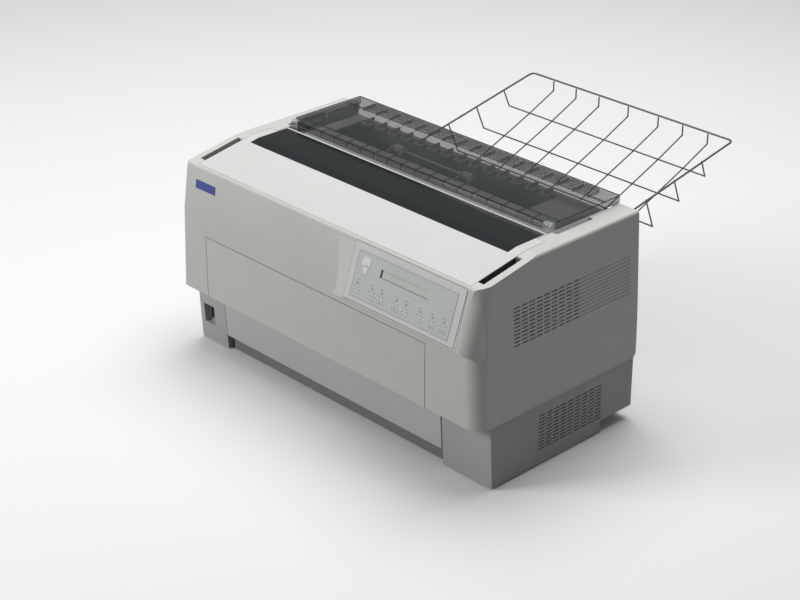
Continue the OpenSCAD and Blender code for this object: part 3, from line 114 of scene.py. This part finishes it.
def grain(nt, bsdf, scale, strength, coords, rough=None, stretch=None):
    """Fine moulded texture, or drawn lines where stretched."""
    noise = add(nt, "ShaderNodeTexNoise", Scale=scale, Detail=3.0)
    source = coords.outputs["Object"]
    if stretch:
        mapping = add(nt, "ShaderNodeMapping", Scale=stretch)
        nt.links.new(source, mapping.inputs["Vector"])
        source = mapping.outputs["Vector"]
    nt.links.new(source, noise.inputs["Vector"])
    bump = add(nt, "ShaderNodeBump", Strength=strength, Distance=BUMP_DEPTH)
    nt.links.new(noise.outputs["Fac"], bump.inputs["Height"])
    nt.links.new(bump.outputs["Normal"], bsdf.inputs["Normal"])
    if rough:
        spread = add(nt, "ShaderNodeMapRange", To_Min=rough[0], To_Max=rough[1])
        nt.links.new(noise.outputs["Fac"], spread.inputs["Value"])
        nt.links.new(spread.outputs["Result"], bsdf.inputs["Roughness"])


def plastic(name, color, rough=(0.42, 0.58), texture=1400.0, bump=0.25, spread=0.02, specular=0.4):
    mat, nt, bsdf = tree(name)
    coords = nt.nodes.new("ShaderNodeTexCoord")
    mottle(nt, bsdf, color, spread, 14.0, coords)
    grain(nt, bsdf, texture, bump, coords, rough)
    bsdf.inputs["Specular IOR Level"].default_value = specular
    return mat


def smoky(name, color, alpha, rough=0.08):
    """Tinted see-through plastic with a faint moulded ripple."""
    mat, nt, bsdf = tree(name)
    coords = nt.nodes.new("ShaderNodeTexCoord")
    mottle(nt, bsdf, color, 0.06, 9.0, coords)
    grain(nt, bsdf, 60.0, 0.03, coords)
    bsdf.inputs["Roughness"].default_value = rough
    bsdf.inputs["Alpha"].default_value = alpha
    bsdf.inputs["Coat Weight"].default_value = 0.3
    bsdf.inputs["Coat Roughness"].default_value = 0.05
    mat.surface_render_method = "BLENDED"
    return mat


def metal(name, color, rough, stretch=(1, 1, 1)):
    mat, nt, bsdf = tree(name)
    coords = nt.nodes.new("ShaderNodeTexCoord")
    mottle(nt, bsdf, color, 0.05, 30.0, coords)
    grain(nt, bsdf, 700.0, 0.12, coords, rough, stretch)
    bsdf.inputs["Metallic"].default_value = 1.0
    return mat


def board_material(name):
    """Green circuit board with faint copper tracks under the lacquer."""
    mat, nt, bsdf = tree(name)
    coords = nt.nodes.new("ShaderNodeTexCoord")
    brick = add(nt, "ShaderNodeTexBrick", Scale=90.0, Color1=(0.02, 0.13, 0.05, 1),
                Color2=(0.03, 0.17, 0.07, 1), Mortar=(0.05, 0.25, 0.10, 1))
    nt.links.new(coords.outputs["Object"], brick.inputs["Vector"])
    nt.links.new(brick.outputs["Color"], bsdf.inputs["Base Color"])
    bsdf.inputs["Roughness"].default_value = 0.35
    return mat


M = {
    "case": plastic("case_grey", (0.600, 0.600, 0.575)),
    "cover": plastic("cover_light_grey", (0.640, 0.640, 0.625)),
    "base": plastic("base_grey", (0.450, 0.455, 0.440)),
    "bezel": plastic("bezel_light_grey", (0.640, 0.645, 0.630)),
    "film": plastic("panel_film", (0.530, 0.560, 0.560), rough=(0.30, 0.40), bump=0.10, spread=0.015),
    "button": plastic("button_grey", (0.520, 0.575, 0.580), rough=(0.30, 0.42), bump=0.10),
    "lcd": plastic("display_glass", (0.610, 0.670, 0.590), rough=(0.10, 0.16), bump=0.03, spread=0.03),
    "lamp": plastic("lamp_lens", (0.280, 0.330, 0.280), rough=(0.15, 0.22), bump=0.05),
    "window": smoky("smoked_window", (0.019, 0.024, 0.026), 0.84),
    "smoke": smoky("smoked_cover", (0.045, 0.052, 0.056), 0.47),
    "tint": smoky("smoked_lining", (0.030, 0.035, 0.038), 0.45),
    "edge": plastic("smoked_edge", (0.018, 0.021, 0.023), rough=(0.20, 0.30), bump=0.05),
    "clear": smoky("clear_catch", (0.45, 0.48, 0.50), 0.40, 0.05),
    "wire": plastic("rack_coating", (0.085, 0.085, 0.080), rough=(0.25, 0.38), texture=500.0,
                    bump=0.15, specular=0.6),
    "black": plastic("black_moulding", (0.030, 0.030, 0.032), rough=(0.40, 0.60)),
    # guide grey: darkened as painted shade for the lower paper guide, which sits in shadow beneath the lower
    # front panel; the print head and the tractor lids share this colour
    "guide": plastic("guide_grey_with_painted_shade", (0.200, 0.205, 0.210)),
    "exit": plastic("exit_guide_grey", (0.700, 0.700, 0.690)),
    "lower": plastic("lower_panel_grey", (0.550, 0.555, 0.540)),
    # this black paints shade in the display's well
    "dark": plastic("painted_shade_black", (0.040, 0.042, 0.045)),
    "rubber": plastic("foot_rubber", (0.025, 0.025, 0.025), rough=(0.75, 0.9), texture=400.0, bump=0.4),
    "roller": plastic("platen_rubber", (0.030, 0.030, 0.032), rough=(0.6, 0.75), texture=900.0, bump=0.3),
    "white": plastic("nylon_white", (0.700, 0.690, 0.640), rough=(0.35, 0.5)),
    "zinc": metal("zinc_plate", (0.56, 0.57, 0.58), (0.32, 0.5)),
    "shaft": metal("ground_shaft", (0.60, 0.61, 0.62), (0.15, 0.28), stretch=(0.05, 1, 1)),
    "screw": metal("screw_steel", (0.50, 0.50, 0.51), (0.25, 0.4)),
    "gold": metal("contact_gold", (0.83, 0.62, 0.28), (0.2, 0.3)),
    "board": board_material("circuit_board"),
    "blue": plastic("plate_blue", (0.045, 0.063, 0.300), rough=(0.25, 0.35), bump=0.06),
    "print": plastic("panel_print_light", (0.720, 0.740, 0.750), rough=(0.35, 0.45), bump=0.05),
    "ink": plastic("panel_print_dark", (0.260, 0.280, 0.290), rough=(0.35, 0.45), bump=0.05),
    "emblem": plastic("panel_plate_pale", (0.760, 0.770, 0.770), rough=(0.25, 0.35), bump=0.05),
    "ribbon": plastic("ink_ribbon", (0.012, 0.012, 0.014), rough=(0.7, 0.85), texture=1800.0, bump=0.5),
    "flex": plastic("flat_cable", (0.480, 0.480, 0.470), rough=(0.4, 0.5)),
    "switch": plastic("switch_black", (0.022, 0.022, 0.024), rough=(0.22, 0.32), bump=0.08),
}

# node: material, width of its rounded edges in mm
LOOK = {
    "base_case": ("base", 0.9), "lower_front_panel": ("lower", 0.5), "lower_paper_guide": ("guide", 0.4),
    "rubber_feet": ("rubber", 0.4), "upper_case": ("case", 0.7), "panel_bezel": ("bezel", 0.35),
    "panel_overlay": ("film", 0.1), "lcd_display": ("lcd", 0.2), "status_lamps": ("lamp", 0.15),
    "power_rocker": ("switch", 0.6), "power_inlet": ("black", 0.4), "interface_ports": ("zinc", 0.2),
    "front_flap": ("case", 0.6), "top_cover": ("cover", 0.8), "cover_window": ("window", 0.4),
    "eject_cover": ("smoke", 0.5), "eject_cover_catches": ("clear", 0.5), "rear_cover": ("case", 0.6),
    "rack_rails": ("wire", 0), "rack_basket": ("wire", 0), "side_frame_left": ("zinc", 0.3),
    "side_frame_right": ("zinc", 0.3), "guide_shaft": ("shaft", 0.3), "front_rail": ("shaft", 0.3),
    "carriage": ("black", 0.6), "print_head": ("guide", 0.3), "ribbon_cartridge": ("black", 0.9),
    "drive_belt": ("rubber", 0), "drive_pulley": ("zinc", 0.2), "idler_pulley": ("zinc", 0.2),
    "carriage_motor": ("black", 0.5), "platen": ("roller", 0.3), "platen_gear": ("white", 0.15),
    "feed_motor": ("black", 0.5), "feed_pinion": ("shaft", 0.1), "exit_guide": ("exit", 0.3),
    "tension_rollers": ("white", 0.4), "tractor_support_shafts": ("shaft", 0.2),
    "front_drive_shaft": ("shaft", 0.2), "rear_drive_shaft": ("shaft", 0.2),
    "power_supply": ("zinc", 0.4), "main_board": ("board", 0.2), "fan_housing": ("black", 0.5),
    "fan_rotor": ("black", 0.2),
}
# the same for nodes that come in sets, by a part of their name
LOOK_OF_SET = {"button_": ("button", 0.5), "_tractor_lid": ("guide", 0.4), "_tractor_": ("black", 0.4)}
WELD_GAP = 2e-6
CREASE = math.radians(35)


def look_of(name):
    if name in LOOK:
        return LOOK[name]
    return next(look for part, look in LOOK_OF_SET.items() if part in name)


def soften(obj, width):
    """Rounded edges of a width in mm."""
    bevel = obj.modifiers.new("soft_edges", "BEVEL")
    bevel.width = width * MM
    bevel.segments = 2
    bevel.limit_method = "ANGLE"
    return bevel


for name, obj in nodes.items():
    key, edge = look_of(name)
    for s in obj.material_slots:
        s.link = "OBJECT"
        s.material = M[key]
    if edge:
        obj.modifiers.new("weld", "WELD").merge_threshold = WELD_GAP
        bevel = soften(obj, edge)
        bevel.angle_limit = CREASE
        bevel.harden_normals = True


# ------------------------------------------------------------------ shapes for the small pieces
ROUND_STEPS = 6        # sides to each rounded corner


def piece(name, bm, mat, body, smooth=False, edge=0.0):
    mesh = bpy.data.meshes.new(name)
    bmesh.ops.recalc_face_normals(bm, faces=bm.faces)
    bm.to_mesh(mesh)
    bm.free()
    obj = bpy.data.objects.new(name, mesh)
    scene.collection.objects.link(obj)
    mesh.materials.append(M[mat])
    if smooth:
        for p in mesh.polygons:
            p.use_smooth = True
    if edge:
        soften(obj, edge)
    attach(obj, body)
    return obj


def block(bm, lo, hi, m=None):
    """A box between two corners in mm, placed by a matrix."""
    c = (Vector(lo) + Vector(hi)) / 2 * MM
    s = [(hi[i] - lo[i]) * MM for i in range(3)]
    place = Matrix.Translation(c) @ Matrix.Diagonal((*s, 1))
    bmesh.ops.create_cube(bm, size=1, matrix=(m @ place) if m else place)


def disc(bm, place, r, depth, segments=24, r2=None):
    """A round piece about its matrix's Z, in mm; r2 is its other end's radius."""
    bmesh.ops.create_cone(bm, cap_ends=True, segments=segments, radius1=r * MM, radius2=(r2 or r) * MM,
                          depth=depth * MM, matrix=place)


def close(bm, low, high):
    """Two caps and the sides between two loops of vertices."""
    bm.faces.new(low)
    bm.faces.new(high[::-1])
    for i in range(len(low)):
        j = (i + 1) % len(low)
        bm.faces.new((low[i], high[i], high[j], low[j]))


def plate(bm, points, z0, z1, m):
    """A plate with its outline given as (x, y) points in mm, placed by a matrix."""
    low, high = ([bm.verts.new(m @ (Vector((x, y, z)) * MM)) for x, y in points] for z in (z0, z1))
    close(bm, low, high)


def rounded_plate(bm, w, h, r, t, m):
    """A plate with rounded corners, centred, t thick, in mm."""
    points = []
    for cx, cy, start in ((w / 2 - r, h / 2 - r, 0), (r - w / 2, h / 2 - r, 90),
                          (r - w / 2, r - h / 2, 180), (w / 2 - r, r - h / 2, 270)):
        for i in range(ROUND_STEPS + 1):
            a = math.radians(start + 90 * i / ROUND_STEPS)
            points.append((cx + r * math.cos(a), cy + r * math.sin(a)))
    plate(bm, points, 0, t, m)


def prism(bm, points, x0, x1):
    """A bar along X with its outline given as (depth, height) points in mm."""
    low, high = ([bm.verts.new(at(x, d, z)) for d, z in points] for x in (x0, x1))
    close(bm, low, high)


def rect(d0, d1, z0, z1):
    """A bar's outline: an upright rectangle."""
    return [(d0, z0), (d1, z0), (d1, z1), (d0, z1)]


def under_top(d0, d1, drop0, drop1):
    """A bar's outline: between two drops below the sloping top."""
    return [(d, top_at(d) - drop) for d, drop in ((d0, drop0), (d1, drop0), (d1, drop1), (d0, drop1))]


def outline(bm, x0, y0, x1, y1, w, z0, z1):
    """A thin rectangular ring on the panel."""
    block(bm, (x0, y0, z0), (x1, y0 + w, z1), PANEL)
    block(bm, (x0, y1 - w, z0), (x1, y1, z1), PANEL)
    block(bm, (x0, y0 + w, z0), (x0 + w, y1 - w, z1), PANEL)
    block(bm, (x1 - w, y0 + w, z0), (x1, y1 - w, z1), PANEL)


def facing(point, normal, up=(0, 0, 1)):
    """A frame whose Z is a surface's normal."""
    z = Vector(normal).normalized()
    x = Vector(up).cross(z).normalized()
    y = z.cross(x)
    return Matrix((*zip(x, y, z, point), (0, 0, 0, 1)))


def band(name, path, levels, place, mat, thickness):
    """A thin band on the carriage, along a path and between two levels, in mm."""
    bm = bmesh.new()
    low, high = ([bm.verts.new(place(a, b, level)) for a, b in path] for level in levels)
    for i in range(len(path) - 1):
        bm.faces.new((low[i], low[i + 1], high[i + 1], high[i]))
    obj = piece(name, bm, mat, "carriage", smooth=True)
    obj.modifiers.new("thickness", "SOLIDIFY").thickness = thickness * MM


def screw(bm, m, r=3.2):
    """A screw head with a cross recess."""
    high = 1.2
    disc(bm, m @ Matrix.Translation((0, 0, high / 2 * MM)), r, high, r2=r * 0.82)
    for a in (0, 90):
        turned = m @ Matrix.Rotation(math.radians(a), 4, "Z")
        block(bm, (-r * 0.55, -0.35, high), (r * 0.55, 0.35, high + 0.06), turned)


# ------------------------------------------------------------------ control panel and plates
FILM = 0.8             # the film's face above the panel's plane
PRINT = FILM + 0.08    # the light printing's face
LINE = 0.5             # width of a light line
BUTTON_X = (23, 55, 76, 108, 129, 158, 184, 208)
ARROWS = ((76, 1), (108, -1), (184, 1), (208, -1))    # button, and up or down
ARROW_Z0, ARROW_Z1 = 1.02, 1.08                       # above the buttons' faces

# light printing: rings round the buttons, and lines that tie them to their lamps
bm = bmesh.new()
for x in BUTTON_X:
    outline(bm, x - 8.2, -80.0, x + 8.2, -70.2, LINE, FILM, PRINT)
    block(bm, (x - LINE / 2, -70.0, FILM), (x + LINE / 2, -64.5, PRINT), PANEL)
for x0, x1 in ((45, 86), (98, 139), (150, 192)):
    block(bm, (x0, -52.4, FILM), (x1, -51.9, PRINT), PANEL)
    for x in (x0, x1 - LINE):
        block(bm, (x, -56.0, FILM), (x + LINE, -52.4, PRINT), PANEL)
piece("panel_print_light", bm, "print", "printer_body")

# dark printing: plain marks in the places of the legends, arrows, and a line round the film
bm = bmesh.new()
for x in BUTTON_X:
    block(bm, (x - 6, -67.0, FILM), (x - 2.6, -66.0, PRINT), PANEL)
    block(bm, (x + 2.6, -67.0, FILM), (x + 6, -66.0, PRINT), PANEL)
    block(bm, (x - 3.5, -56.2, FILM), (x + 3.5, -55.3, PRINT), PANEL)
for x, s in ARROWS:
    points = [(x - 2.2, -75 - s * 1.4), (x + 2.2, -75 - s * 1.4), (x, -75 + s * 1.6)]
    plate(bm, points, ARROW_Z0, ARROW_Z1, PANEL)
outline(bm, 12.2, -83.2, 221.6, -12.2, 0.35, FILM, FILM + 0.06)
piece("panel_print_dark", bm, "ink", "printer_body")

# painted shade: a dark frame at the front and the left of the display's well, where the well's walls shade it
bm = bmesh.new()
block(bm, (64.0, -39.4, 0.05), (166.0, -38.8, 0.75), PANEL)
block(bm, (64.0, -38.8, 0.05), (65.2, -26.6, 0.75), PANEL)
block(bm, (65.2, -38.8, 0.05), (67.5, -26.6, 0.30), PANEL)
piece("display_well_painted_shade", bm, "dark", "printer_body")

# the display's character cells
CELL_W, CELL_H, CELL_PITCH, ROW_PITCH = 3.4, 4.2, 4.55, 5.2
bm = bmesh.new()
for row in range(2):
    y = -37.6 + row * ROW_PITCH
    for column in range(20):
        x = 73 + column * CELL_PITCH
        block(bm, (x, y, 0.04), (x + CELL_W, y + CELL_H, 0.07), PANEL)
piece("display_cells", bm, "lcd", "printer_body")

# bare plates in the places of the badges
bm = bmesh.new()
for x, y, w, h, r in ((31, -26, 17.5, 16, 5.5), (32, -37, 9.5, 13, 3.0)):
    rounded_plate(bm, w, h, r, 0.5, PANEL @ Matrix.Translation(Vector((x, y, FILM)) * MM))
piece("panel_plate", bm, "emblem", "printer_body", edge=0.15)
PLATE_X, PLATE_Z, PLATE_SUNK = -286, 307.3, 0.35
slope = math.asin((PLATE_Z - BOW_Z) / BOW_R)
bm = bmesh.new()
rounded_plate(bm, 50, 14.6, 1.2, 1.0, facing(at(PLATE_X, front_at(PLATE_Z) - PLATE_SUNK, PLATE_Z),
                                             (0, -math.cos(slope), math.sin(slope))))
piece("front_plate", bm, "blue", "printer_body", edge=0.3)

# ------------------------------------------------------------------ edges of the covers
# a dark strip down each side of the top cover, and one along its front edge that follows its swing
bm = bmesh.new()
for s in (-1, 1):
    prism(bm, under_top(250, 328, 1.2, 11.5), s * (COVER_HALF + 0.02), s * (COVER_HALF + 0.32))
reach = math.hypot(EDGE_DEPTH - HINGE_DEPTH, HINGE_Z - top_at(EDGE_DEPTH))
rings = []
for r in (reach + 0.02, reach + 0.22):
    heights = [top_at(EDGE_DEPTH) - 0.6 - 1.8 * i - HINGE_Z for i in range(4)]
    rings.append([(HINGE_DEPTH + math.sqrt(r * r - z * z), HINGE_Z + z) for z in heights])
prism(bm, rings[0] + rings[1][::-1], -310, 310)
piece("cover_dark_strips", bm, "black", "top_cover")

# painted shade: dark strips along the front flap's upper edge and its right end, darkening its seams the way
# the case's shaded inside would
bm = bmesh.new()
prism(bm, rect(356.4, 358.3, 219.72, 220.0), -283.6, 234.6)
prism(bm, rect(356.4, 358.3, 111.5, 219.0), 235.02, 235.3)
piece("flap_seam_painted_shade", bm, "black", "front_flap")

# painted shade: dark plates on the floors of the finger pockets, where their depths lie in shade
bm = bmesh.new()
for s in (-1, 1):
    prism(bm, under_top(249, 329, 17.9, 17.5), s * (COVER_HALF + 1.0), s * (COVER_HALF + 12.3))
    prism(bm, rect(74, 154, 340.1, 340.5), s * (NECK_HALF + 2.0), s * (NECK_HALF + 10.8))
piece("pocket_painted_shade", bm, "black", "printer_body")

# dark moulded edges of the smoked eject cover: front chamfer, rear edge, and two bands on each side
CORNER = 17            # width that its front corners take
bm = bmesh.new()
prism(bm, [(155.4, 370.85), (155.5, 370.95), (156.8, 369.65), (156.7, 369.5)],
      -EJECT_HALF + CORNER, EJECT_HALF - CORNER)
prism(bm, rect(-2.22, -2.02, EJECT_LOW, EJECT_HIGH), -EJECT_HALF, EJECT_HALF)
for s in (-1, 1):
    for z0, z1 in ((EJECT_LOW, EJECT_HIGH), (358.6, 359.6)):
        prism(bm, rect(-1.8, 145, z0, z1), s * (EJECT_HALF + 0.02), s * (EJECT_HALF + 0.22))
piece("eject_edges", bm, "edge", "eject_cover")

# tinted lining between the eject cover's rear ribs
RIB_PITCH, RIB_HALF, RIBS = 32, 0.9, 8
bm = bmesh.new()
for i in range(-RIBS, RIBS):
    prism(bm, rect(-1.8, 27.5, 368.8, 369.1), i * RIB_PITCH + RIB_HALF, (i + 1) * RIB_PITCH - RIB_HALF)
piece("eject_lining", bm, "tint", "eject_cover")

# ------------------------------------------------------------------ ink ribbon and flat cable
# the ribbon is stretched between the cartridge's arms, past the platen
band("ink_ribbon",
     [(-30, 283), (-33, 262), (-31, 229), (-22, 224.2), (0, 223.0),
      (22, 224.2), (31, 229), (33, 262), (30, 283)],
     (279.5, 291.5), at, "ribbon", 0.12)
# the print head's flat cable leaves the head, turns in a loop and dips under it
BENDS = 10
loop = []
for i in range(1, BENDS + 1):
    turn = math.pi * i / BENDS
    loop.append((-44 - 14 * math.sin(turn), 306 - 12 * (1 - math.cos(turn))))
band("head_cable", [(-18, 296), (-24, 303), (-40, 306)] + loop + [(-34, 280)],
     (250.5, 262.5), lambda x, z, d: at(x, d, z), "flex", 0.4)

# ------------------------------------------------------------------ screws, contacts and the rocker's mark
bm = bmesh.new()
for x in (-320, -60, 225, 320):
    screw(bm, facing(at(x, BASE_SETBACK, 100), (0, 1, 0)))
for x in (-312, 312):
    screw(bm, facing(at(x, 0, 300), (0, 1, 0)))
for x in (67, 203):
    for z in (46, 88):
        screw(bm, facing(at(x, BASE_SETBACK, z), (0, 1, 0)), 2.2)
piece("rear_screws", bm, "screw", "printer_body", edge=0.1)
FRAME_FACE = 286.5     # the side frames' outer faces
bm = bmesh.new()
for s in (-1, 1):
    for d, z in ((60, 190), (150, 306), (290, 306), (300, 60), (60, 60)):
        screw(bm, facing(at(s * FRAME_FACE, d, z), (s, 0, 0), (0, 1, 0)), 3.0)
piece("frame_screws", bm, "screw", "printer_body", edge=0.1)

# three blades in the power inlet, and two connectors' contacts
bm = bmesh.new()
for dx, dz in ((-6.5, -1.5), (0, 3), (6.5, -1.5)):
    x, z = INLET_X + dx, INLET_Z + dz
    block(bm, (x - 1, rear_y - 22.4, z - 2.2), (x + 1, rear_y - 10, z + 2.2))
for i in range(18):
    x = PORT_X + 18.5 + i * 2.65
    block(bm, (x, rear_y - 11.4, 67.6), (x + 1.0, rear_y - 7.0, 68.5))
for i in range(9):
    for row in range(2):
        x = PORT_X + 93 + i * 2.9 + row * 1.4
        disc(bm, facing(at(x, 10.0, 66.4 + row * 3.0), (0, 1, 0)), 0.5, 3.4, 10)
piece("connector_contacts", bm, "gold", "printer_body")

# a plain stroke on the power rocker, which sits in the base's leaning front
BASE_FRONT, BASE_TOP, BASE_LEAN = 331.4, 110.5, math.radians(3)
depth = BASE_FRONT - math.tan(BASE_LEAN) * (BASE_TOP - 33) - 14
ROCKER = facing(at(-323.6, depth + 3.9, 59), (0, -1, 0.08))
bm = bmesh.new()
block(bm, (-0.5, -2.6, 0), (0.5, 2.6, 0.12), ROCKER)
piece("rocker_mark", bm, "print", "power_rocker")

# ------------------------------------------------------------------ main board
bm = bmesh.new()
for x, depth, w, h, t in ((-100, 120, 18, 8, 3), (-70, 100, 10, 10, 2.4), (-40, 250, 16, 8, 3),
                          (0, 240, 24, 10, 3), (70, 220, 18, 8, 3), (110, 200, 12, 12, 2.4),
                          (180, 150, 26, 12, 3), (190, 250, 14, 14, 2.6)):
    y = rear_y - depth
    block(bm, (x - w / 2, y - h / 2, BOARD_TOP), (x + w / 2, y + h / 2, BOARD_TOP + t))
piece("board_chips", bm, "black", "printer_body", edge=0.2)
CAN_R, CAN_H = 4.2, 12
bm = bmesh.new()
for i in range(9):
    place = at(-110 + i * 36, 76 + (i % 3) * 9, BOARD_TOP + CAN_H / 2)
    disc(bm, Matrix.Translation(place), CAN_R, CAN_H, 20)
piece("board_capacitors", bm, "zinc", "printer_body", edge=0.5)


# ------------------------------------------------------------------ floor, light and camera
def floor_material():
    """Pale where it is seen, dim where it only throws light back."""
    mat, nt, bsdf = tree("pale_floor")
    nt.nodes.remove(bsdf)
    path = nt.nodes.new("ShaderNodeLightPath")
    seen = add(nt, "ShaderNodeMath", operation="MAXIMUM")
    seen_through = add(nt, "ShaderNodeMath", operation="MAXIMUM")
    pale = add(nt, "ShaderNodeBsdfDiffuse", Color=(0.90, 0.90, 0.90, 1))
    dim = add(nt, "ShaderNodeBsdfDiffuse", Color=(0.26, 0.26, 0.26, 1))
    mix = nt.nodes.new("ShaderNodeMixShader")
    nt.links.new(path.outputs["Is Camera Ray"], seen.inputs[0])
    nt.links.new(path.outputs["Is Glossy Ray"], seen.inputs[1])
    nt.links.new(seen.outputs[0], seen_through.inputs[0])
    nt.links.new(path.outputs["Is Transmission Ray"], seen_through.inputs[1])
    nt.links.new(seen_through.outputs[0], mix.inputs["Fac"])
    nt.links.new(dim.outputs[0], mix.inputs[1])
    nt.links.new(pale.outputs[0], mix.inputs[2])
    nt.links.new(mix.outputs[0], nt.nodes["Material Output"].inputs["Surface"])
    return mat


FLOOR_SIZE, FLOOR_Z = 14, -0.0005
bpy.ops.mesh.primitive_plane_add(size=FLOOR_SIZE, location=(0, 0, FLOOR_Z))
floor = bpy.context.object
floor.name = "floor"
floor.data.materials.append(floor_material())

WORLD_LIGHT = 0.17     # what the world gives; the camera itself sees it white
world = bpy.data.worlds.new("studio")
scene.world = world
world.use_nodes = True
wt = world.node_tree
wt.nodes.clear()
out = wt.nodes.new("ShaderNodeOutputWorld")
path = wt.nodes.new("ShaderNodeLightPath")
lit = add(wt, "ShaderNodeBackground", Color=(1, 1, 1, 1), Strength=WORLD_LIGHT)
shown = add(wt, "ShaderNodeBackground", Color=(1, 1, 1, 1), Strength=1.0)
mix = wt.nodes.new("ShaderNodeMixShader")
wt.links.new(path.outputs["Is Camera Ray"], mix.inputs["Fac"])
wt.links.new(lit.outputs[0], mix.inputs[1])
wt.links.new(shown.outputs[0], mix.inputs[2])
wt.links.new(mix.outputs[0], out.inputs["Surface"])


def lamp(name, place, aim, size, power):
    """A square area light, in metres and watts."""
    light = bpy.data.lights.new(name, "AREA")
    light.shape = "RECTANGLE"
    light.size = light.size_y = size
    light.energy = power
    obj = bpy.data.objects.new(name, light)
    scene.collection.objects.link(obj)
    obj.location = place
    obj.rotation_euler = (Vector(aim) - Vector(place)).to_track_quat("-Z", "Y").to_euler()


LAMP_AIM = (0, 0, 0.2)
lamp("overhead", (-0.3, 0.5, 3.0), LAMP_AIM, 2.4, 77)
lamp("front_left", (-2.15, -3.5, 1.9), LAMP_AIM, 1.6, 91)

# the camera, as fitted to the photo's edges
AZIMUTH, ELEVATION = math.radians(46.3166), math.radians(26.7745)
DISTANCE, FOCAL_PIXELS, PICTURE_WIDTH, SENSOR = 3.195976, 1958.168, 800, 36
back = Vector((math.sin(AZIMUTH) * math.cos(ELEVATION),
               -math.cos(AZIMUTH) * math.cos(ELEVATION),
               math.sin(ELEVATION)))
target = at(5.032, 190.0, 149.804)
camera = bpy.data.objects.new("camera", bpy.data.cameras.new("camera"))
camera.data.sensor_width = SENSOR
camera.data.lens = FOCAL_PIXELS / PICTURE_WIDTH * SENSOR
camera.data.clip_end = 50
camera.location = target + back * DISTANCE
camera.rotation_euler = (-back).to_track_quat("-Z", "Y").to_euler()
scene.collection.objects.link(camera)
scene.camera = camera
